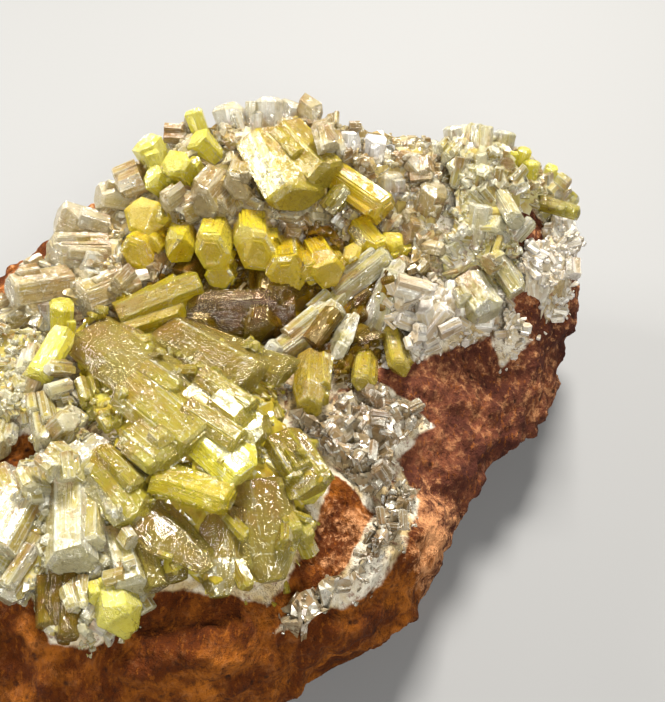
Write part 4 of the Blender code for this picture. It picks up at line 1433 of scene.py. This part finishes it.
def clusters_of_the_specimen() -> list[Cluster]:
    """Lists every cluster, with its crystals and its bed.

    Returns:
        The clusters, the crystals that stand out first.
    """
    prism, stub, blade = Habit.PRISM, Habit.STUB, Habit.BLADE
    rows = [
        ("great_prism", OLIVE, (
            Crystal(-0.5, 24.0, 1.0, 294, 96, 6.8, 7.8, flat=0.85, roll=75, tint=0.7),
            Crystal(1.5, 24.5, 1.2, 305, 94, 4.4, 7.0, flat=0.9, roll=70),
        )),
        ("honey_row", HONEY, (
            Crystal(-5.0, 16.0, 1.2, 268, 70, 4.2, 4.2, tint=1.0),
            Crystal(-1.5, 16.5, 1.2, 275, 72, 4.6, 4.8, roll=25, tint=0.9),
            Crystal(-4.5, 14.2, 0.6, 268, 70, 3.2, 3.2, tint=0.7),
            Crystal(1.5, 14.8, 0.7, 275, 70, 4.6, 4.8, tint=0.35),
            Crystal(4.5, 14.6, 0.6, 285, 70, 4.0, 4.4, roll=35, tint=0.3),
            Crystal(-11.0, 17.5, 0.5, 245, 40, 4.4, 2.8, stub, tint=0.9),
            Crystal(-8.2, 16.0, 0.7, 266, 68, 3.8, 3.6, tint=0.8),
            Crystal(-11.5, 15.5, 0.6, 255, 66, 3.6, 3.4, tint=0.5),
        )),
        ("centre_prism", YELLOW, (
            Crystal(-13.5, 6.2, 1.6, 27, 86, 3.4, 8.0, roll=0, tint=0.35),
            Crystal(-12.5, 7.7, 1.2, 35, 85, 2.2, 5.0, roll=10, tint=0.6),
        )),
        ("lemon_bud", LEMON, (
            Crystal(-11.0, 23.0, 0.4, 160, 20, 3.3, 3.2, stub, tint=1.0),
            Crystal(-8.0, 21.0, 0.6, 235, 25, 3.1, 3.2, stub, roll=0, tint=0.4),
            Crystal(-10.0, 20.5, 0.2, 210, 30, 2.6, 2.8, stub, tint=0.6),
            Crystal(-5.5, 23.0, 0.2, 185, 30, 2.8, 3.0, stub, tint=0.8),
            Crystal(-6.5, 25.0, 0.0, 125, 35, 2.1, 3.4, stub, tint=0.9),
        )),
        ("ridge_prism", HONEY, (
            Crystal(6.0, 20.5, 1.0, 318, 95, 3.4, 6.6, tint=0.4),
            Crystal(8.5, 16.5, 0.6, 300, 90, 3.0, 4.0, tint=0.6),
        )),
        ("striated_stub", STRAW, (Crystal(5.5, 17.0, 2.2, 35, 50, 2.4, 2.8),)),
        ("orange_bud", HONEY, (
            Crystal(8.5, 13.5, 0.2, 225, 25, 2.2, 2.6, stub, tint=0.3),
            Crystal(11.5, 13.5, 0.3, 60, 10, 3.0, 2.6, stub, tint=0.9),
        )),
        ("white_blade", PALE, (
            Crystal(9.0, 7.0, 0.2, 45, 40, 3.4, 7.4, blade, 0.42, 70, 0.9),
            Crystal(5.5, 3.0, 0.2, 45, 45, 3.0, 5.4, blade, 0.42, 70, 0.9),
        )),
        ("barrel_crystal", OLIVE, (Crystal(4.0, 2.0, 1.6, 270, 84, 4.0, 6.0, Habit.BARREL, roll=0, tint=0.4),)),
        ("foot_prism", OLIVE, (
            Crystal(11.5, 6.0, 0.6, 275, 78, 2.4, 5.0),
            Crystal(9.0, 3.5, 0.4, 265, 70, 2.4, 4.4),
        )),
        ("window_prism", PALE, (Crystal(-0.5, 1.5, 1.0, 35, 45, 1.8, 2.8, roll=0, tint=1.0),)),
        ("side_prism", LEMON, (
            Crystal(-18.0, 4.0, 1.8, 255, 88, 2.6, 5.4, tint=0.8),
            Crystal(-18.5, 5.0, 0.6, 80, 30, 3.0, 2.6, stub),
            Crystal(-16.0, 4.5, 0.3, 25, 45, 1.7, 1.8, stub),
        )),
        ("lone_bud", LEMON, (Crystal(4.5, -10.0, 0.4, 255, 65, 3.0, 2.6, stub, tint=0.7),)),
        ("front_bud", LEMON, (Crystal(-10.5, -20.5, 0.6, 290, 75, 4.0, 3.4, stub, tint=0.9),)),
        ("pale_block", PALE, (Crystal(18.5, 11.0, 0.8, 295, 100, 4.0, 4.0, stub, roll=0),)),
        ("striped_prism", PALE, (Crystal(21.5, 12.5, 1.0, 300, 108, 2.6, 3.6, roll=0),)),
        ("rim_bud", LEMON, (
            Crystal(25.0, 20.0, 0.0, 90, 22, 2.0, 2.8, stub, tint=0.7),
            Crystal(26.5, 21.5, 0.0, 55, 38, 1.9, 3.0, stub, tint=0.9),
            Crystal(24.0, 21.5, 0.0, 60, 20, 2.0, 2.6, stub, tint=0.5),
        )),
        ("rim_block", STRAW, (Crystal(28.0, 20.0, 0.0, 35, 55, 2.0, 2.8, stub, roll=0, tint=0.9),)),
        ("rim_prism", STRAW, (Crystal(26.0, 18.5, 0.8, 325, 80, 1.8, 3.8, roll=0, tint=0.9),)),
        ("white_tile", CHALK, (
            Crystal(7.5, 23.0, 0.0, 90, 35, 2.3, 2.2, stub, roll=0, tint=1.0),
            Crystal(10.0, 22.5, 0.0, 80, 35, 3.0, 2.4, stub, roll=0, tint=1.0),
        )),
    ]
    made = [
        Cluster(name, named(name), finish, crystals, companions=1 if "prism" in name else 2, seed=i)
        for i, (name, finish, crystals) in enumerate(rows)
    ]
    made += [
        Cluster("fan_cluster", named("fan_cluster"), STRAW, (
            Crystal(-13.5, 0.5, 1.5, 315, 80, 4.6, 9.0, flat=0.6, roll=90, tint=0.6),
            Crystal(-10.5, -4.5, 2.7, 315, 85, 4.8, 8.5, flat=0.55, roll=98, tint=0.7),
            Crystal(-5.5, -5.5, 2.6, 324, 96, 5.2, 7.0, flat=0.55, roll=82, tint=0.6),
            Crystal(-9.5, -9.0, 1.8, 315, 80, 4.0, 4.4, flat=0.6, roll=90, tint=0.7),
            Crystal(-13.0, -11.0, 1.5, 310, 90, 4.2, 7.0, flat=0.6, roll=90, tint=0.6),
            Crystal(1.5, -7.5, 0.9, 300, 85, 4.0, 6.0, flat=0.6, roll=90, tint=0.4),
        ), Bed((
            (-19, 5), (-12, 10), (-8, 7), (2, 6), (2, -5), (6, -9), (4, -16), (1, -20.5), (-8, -20), (-9, -12),
            (-14, -7),
        ), 60, 260, (1.0, 2.6), (0.4, 1.0), azimuth=312, spread=30, lean=(60, 88), slender=(1.2, 2.4)), seed=40),
        Cluster("fan_slabs", named("fan_cluster"), TAN, (
            Crystal(-15.2, 4.5, 1.2, 310, 76, 6.4, 12.2, flat=0.5, roll=90, tint=0.5),
            Crystal(-9.4, 5.4, 1.2, 315, 73, 5.8, 12.4, flat=0.5, roll=95, tint=0.3),
            Crystal(-6.5, 5.0, 1.0, 325, 76, 4.8, 10.5, flat=0.6, roll=85, tint=0.3),
        ), companions=2, seed=52),
        Cluster("fan_blades", named("fan_cluster"), TAN, (
            Crystal(-10.5, -13.5, 1.5, 315, 97, 4.2, 9.8, blade, flat=0.4, roll=72, tint=0.5),
            Crystal(-8.0, -15.5, 1.2, 290, 100, 4.0, 5.6, blade, flat=0.5, roll=90, tint=0.3),
            Crystal(-3.0, -14.5, 1.2, 275, 100, 4.4, 7.0, blade, flat=0.5, roll=95, tint=0.5),
            Crystal(0.0, -12.0, 1.4, 280, 102, 6.0, 8.2, blade, flat=0.35, roll=90, tint=0.7),
        ), companions=1, seed=53),
        Cluster("fan_lemon", named("fan_cluster"), LEMON, (
            Crystal(-4.5, -9.0, 2.6, 315, 95, 4.4, 5.4, flat=0.55, roll=90, tint=0.8),
        ), companions=1, seed=54),
        Cluster("fan_amber", named("fan_cluster"), YELLOW, (
            Crystal(-7.5, -13.0, 2.3, 340, 90, 3.8, 6.0, flat=0.65, roll=78, tint=0.8),
        ), companions=1, seed=55),
        Cluster("front_cluster", named("front_cluster"), PALE, (
            Crystal(-18.5, -13.5, 0.4, 255, 85, 4.2, 6.5, prism, tint=0.3),
            Crystal(-14.5, -13.0, 0.6, 280, 85, 4.0, 7.0, prism, tint=0.7),
            Crystal(-10.5, -16.5, 0.6, 290, 90, 3.2, 5.0, prism, tint=0.6),
            Crystal(-16.5, -17.0, 0.4, 250, 95, 3.0, 5.0, prism, tint=0.3),
            Crystal(-12.5, -9.5, 0.4, 240, 70, 3.0, 4.5, prism, tint=0.6),
        ), Bed((
            (-20, -13), (-19, -10), (-14, -7), (-9, -12), (-8, -20), (-9, -23), (-12, -24.5), (-15, -24), (-18, -19),
        ), 100, 420, (1.0, 2.8), (0.4, 1.0), azimuth=270, spread=70, slender=(0.7, 1.4)), PALE, seed=41),
        Cluster("front_tooth", named("front_cluster"), SMOKY, (
            Crystal(-14.5, -18.5, 0.6, 275, 100, 3.6, 6.4, blade, 0.75, tint=0.9),
        ), companions=2, seed=56),
        Cluster("west_cluster", named("west_cluster"), PALE, (
            Crystal(-21.0, -10.5, 0.3, 300, 75, 3.6, 4.6, prism, tint=0.3),
            Crystal(-22.5, -4.5, 0.2, 280, 60, 3.0, 4.0, prism, tint=0.6),
            Crystal(-18.5, -3.5, 0.6, 290, 75, 4.0, 5.5, prism, tint=0.2),
        ), Bed(((-25, 5), (-19, 5), (-14, -7), (-19, -10), (-18.5, -6), (-24, -4)), 70, 300, (1.0, 2.6), (0.4, 1.0), azimuth=280, spread=80, slender=(0.7, 1.4)), PALE, seed=42),
        Cluster("left_cluster", named("left_cluster"), DRUSE, (
            Crystal(-15.5, 14.0, 0.4, 200, 70, 4.0, 5.0, prism, tint=0.5),
            Crystal(-18.5, 10.0, 0.3, 215, 70, 4.0, 5.5, prism, tint=0.5),
            Crystal(-13.5, 11.0, 0.3, 225, 75, 3.6, 5.0, prism, tint=0.4),
            Crystal(-16.0, 17.0, 0.3, 190, 60, 3.6, 4.5, prism, tint=0.7),
            Crystal(-13.0, 20.0, 0.2, 200, 60, 3.2, 4.0, prism, tint=0.7),
        ), Bed((
            (-25, 5), (-22.5, 11), (-18, 17.5), (-13.5, 22.5), (-10, 20), (-7, 16), (-12, 10), (-19, 5),
        ), 150, 340, (1.2, 3.2), (0.4, 1.0), azimuth=215, spread=60, lean=(50, 85), slender=(0.8, 1.5),
            flatness=(0.45, 0.85)), DRUSE, seed=43),
        Cluster("valley_cluster", named("valley_cluster"), SMOKY, (
            Crystal(2.5, 9.0, 1.2, 185, 90, 4.6, 10.0, prism, tint=0.3),
            Crystal(-1.0, 12.5, 0.8, 275, 85, 4.0, 7.0, prism, tint=0.3),
            Crystal(-5.0, 12.0, 0.8, 260, 85, 3.6, 6.0, prism, tint=0.4),
            Crystal(4.0, 13.0, 0.6, 230, 85, 3.4, 5.5, prism, tint=0.4),
        ), Bed((
            (-12, 10), (-7, 16), (-2, 16), (6, 16), (12, 11), (10, 2.5), (6, -1), (2, 6), (-8, 7),
        ), 70, 260, (1.2, 3.0), (0.4, 1.0), azimuth=40, spread=50, lean=(60, 88), slender=(1.2, 2.4)), SMOKY, seed=44),
        Cluster("valley_logs", named("valley_cluster"), PALE, (
            Crystal(1.0, 3.5, 0.8, 40, 82, 3.4, 7.2, prism, tint=0.2),
            Crystal(6.5, 10.5, 0.8, 25, 60, 3.2, 6.0, prism, tint=0.4),
            Crystal(3.5, 7.0, 0.5, 45, 75, 3.0, 6.0, prism, tint=0.3),
            Crystal(10.5, 7.0, 0.4, 60, 30, 3.0, 5.4, prism, tint=0.9),
        ), seed=57),
        Cluster("back_cluster", named("back_cluster"), DRUSE, (
            Crystal(-5.0, 20.5, 0.5, 250, 80, 4.0, 4.0, prism, tint=0.3),
            Crystal(-2.5, 21.5, 0.5, 265, 75, 3.6, 3.6, prism, tint=0.3),
            Crystal(-7.0, 18.5, 0.4, 230, 75, 3.2, 3.2, prism, tint=0.4),
            Crystal(-3.5, 27.0, -0.2, 115, 40, 3.6, 3.2, stub, tint=1.0),
            Crystal(-0.5, 26.5, 0.0, 90, 40, 3.8, 3.2, stub, tint=1.0),
            Crystal(1.0, 27.5, 0.0, 60, 40, 3.0, 3.0, stub, tint=1.0),
        ), Bed((
            (-13.5, 22.5), (-10, 26.5), (-6, 28), (1, 29), (5, 27), (6, 22), (6, 16), (-2, 16), (-7, 16), (-10, 20),
        ), 170, 380, (1.2, 3.4), (0.4, 1.0), azimuth=270, spread=100, slender=(0.7, 1.4),
            flatness=(0.45, 0.9)), DRUSE, seed=45),
        Cluster("ridge_cluster", named("ridge_cluster"), DRUSE, (
            Crystal(11.5, 18.5, 0.4, 90, 30, 3.0, 2.6, stub, tint=1.0),
            Crystal(15.0, 17.0, 0.2, 60, 25, 3.2, 2.8, stub, tint=0.4),
        ), Bed((
            (5, 27), (10, 25.5), (16, 25.5), (17, 19), (16, 12), (12, 11), (6, 16), (6, 22),
        ), 160, 380, (1.1, 2.9), (0.4, 1.0), azimuth=290, spread=100, slender=(0.7, 1.4),
            flatness=(0.45, 0.9)), DRUSE, seed=46),
        Cluster("right_cluster", named("right_cluster"), PALE, (
            Crystal(19.5, 14.0, 0.4, 80, 35, 2.6, 3.8, prism, tint=0.8),
            Crystal(22.0, 18.0, 0.6, 285, 88, 2.6, 3.8, prism, tint=0.6),
            Crystal(22.5, 14.0, 0.6, 30, 50, 1.5, 3.2, prism, tint=0.9),
            Crystal(22.5, 23.5, 0.0, 75, 35, 2.3, 2.6, stub, tint=1.0),
            Crystal(18.0, 24.0, 0.0, 100, 35, 2.4, 2.4, stub, tint=1.0),
        ), Bed((
            (16, 25.5), (20, 26), (26, 23.5), (29, 21), (24, 15), (23, 11), (17, 10), (16, 12), (17, 19),
        ), 300, 520, (1.0, 2.6), (0.35, 0.95), lean=(35, 88), slender=(0.7, 1.4), flatness=(0.4, 0.9),
            overhang=0.8), PALE, seed=47),
        Cluster("rim_crust", named("rim_crust"), CHALK, (), Bed((
            (24, 15), (29, 21), (30.5, 18), (29, 12.5), (26, 8.5), (22, 5.5), (21, 8), (23, 11),
        ), 60, 450, (0.8, 1.9), (0.3, 0.7), overhang=1.0), seed=48),
        Cluster("tongue_crust", named("tongue_crust"), CHALK, (), Bed((
            (12, 11), (16, 12), (17, 10), (23, 11), (21, 8), (17, 5.5), (14, 3.5), (10, 2.5),
        ), 70, 280, (1.0, 2.5), (0.4, 0.9), tint=(0.0, 0.7)), seed=49),
        Cluster("centre_crust", named("centre_crust"), CRUST, (), Bed((
            (2, 6), (6, -1), (10, 1), (15, -2), (12, -5), (10, -12), (6, -9), (2, -5),
        ), 30, 200, (0.8, 2.0), (0.3, 0.8)), mass=Mass(sink=1.3, relief=1.0, patchy=0.42), seed=50),
        Cluster("vein_crust", named("vein_crust"), CRUST, (), Bed((
            (1.5, -22.5), (3.5, -20), (7, -17), (9.5, -12), (12, -6), (13.5, -9), (12, -15), (8, -19),
        ), 10, 110, (0.6, 1.2), (0.25, 0.6)), mass=Mass(sink=1.35, relief=0.9, patchy=0.5), seed=51),
    ]
    return made


# ---------------------------------------------------------------- the studio


@dataclass
class Studio:
    """The plain pale floor, the soft lights and the camera."""

    target: tuple[float, float, float] = (6.0, 0.0, 22.0)
    distance: float = 92.0
    elevation: float = 50.0
    focal_px: float = 1080.0  # focal length in pixels of the picture
    picture: tuple[int, int] = (665, 702)
    sensor: float = 36.0
    floor_side: float = 4.0  # metres
    ambient: float = 0.17

    def build(self) -> None:
        """Sets up the floor, the lights and the camera."""
        self._floor()
        self._world()
        self._light("key", (50, 150, 230), 75, 1.75, (1.0, 0.97, 0.93))
        self._light("side", (-190, 60, 120), 80, 0.6, (1.0, 0.99, 0.97))
        self._light("front", (40, -190, 200), 90, 0.66, (1.0, 1.0, 1.0))
        self._camera()

    def _floor(self) -> None:
        """Lays the floor under the flat cut."""
        deselect_all()
        bpy.ops.mesh.primitive_plane_add(size=self.floor_side, location=(0, 0, -0.02 * MM))
        floor = bpy.context.object
        floor.name = floor.data.name = "floor"
        bpy.ops.object.transform_apply(location=True, rotation=False, scale=False)
        floor.data.materials.append(FloorFinish().material("floor"))

    def _world(self) -> None:
        """Fills the room with even pale light, and says how far light is followed."""
        world = bpy.data.worlds.new("studio")
        world.use_nodes = True
        backdrop = world.node_tree.nodes["Background"]
        backdrop.inputs["Color"].default_value = (1.0, 0.98, 0.95, 1.0)
        backdrop.inputs["Strength"].default_value = self.ambient
        bpy.context.scene.world = world
        bpy.context.scene.view_settings.view_transform = "Standard"
        bpy.context.scene.cycles.max_bounces = 6
        bpy.context.scene.cycles.transmission_bounces = 6
        bpy.context.scene.cycles.diffuse_bounces = 2

    def _light(self, name: str, place: Sequence[float], side: float, watts: float, colour: Colour) -> None:
        """Hangs one square softbox, aimed at the specimen."""
        data = bpy.data.lights.new(name, "AREA")
        data.shape = "SQUARE"
        data.size = side * MM
        data.energy = watts
        data.color = colour
        lamp = bpy.data.objects.new(name, data)
        lamp.location = Vector(place) * MM
        aim = Vector(self.target) * MM - lamp.location
        lamp.rotation_euler = aim.to_track_quat("-Z", "Y").to_euler()
        bpy.context.scene.collection.objects.link(lamp)

    def _camera(self) -> None:
        """Sets the camera at the view's angle."""
        data = bpy.data.cameras.new("camera")
        data.sensor_fit = "HORIZONTAL"
        data.sensor_width = self.sensor
        data.lens = self.focal_px * self.sensor / self.picture[0]
        data.clip_start = 1 * MM
        camera = bpy.data.objects.new("camera", data)
        up = math.radians(self.elevation)
        back = Vector((0, -math.cos(up), math.sin(up)))
        camera.location = (Vector(self.target) + back * self.distance) * MM
        camera.rotation_euler = Euler((math.pi / 2 - up, 0, 0))
        bpy.context.scene.collection.objects.link(camera)
        bpy.context.scene.camera = camera


def main() -> None:
    """Builds the specimen, piece by piece, and the studio round it."""
    logging.basicConfig(level=logging.INFO, format="%(name)s: %(message)s")
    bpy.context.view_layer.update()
    book = PatternBook(seed=7)
    rock = Rock()
    clusters = clusters_of_the_specimen()
    beds = [cluster.bed for cluster in clusters if cluster.bed]
    lump = rock.build(beds)
    rock.dress(lump, beds)
    masses = [cluster.build_mass() for cluster in clusters if cluster.bed]
    rock.cover([lump, *masses])
    footprints = Footprints(rock, clusters)
    for cluster in clusters:
        cluster.build(book, rock, footprints.holds)
    Studio().build()


if __name__ == "__main__":
    main()
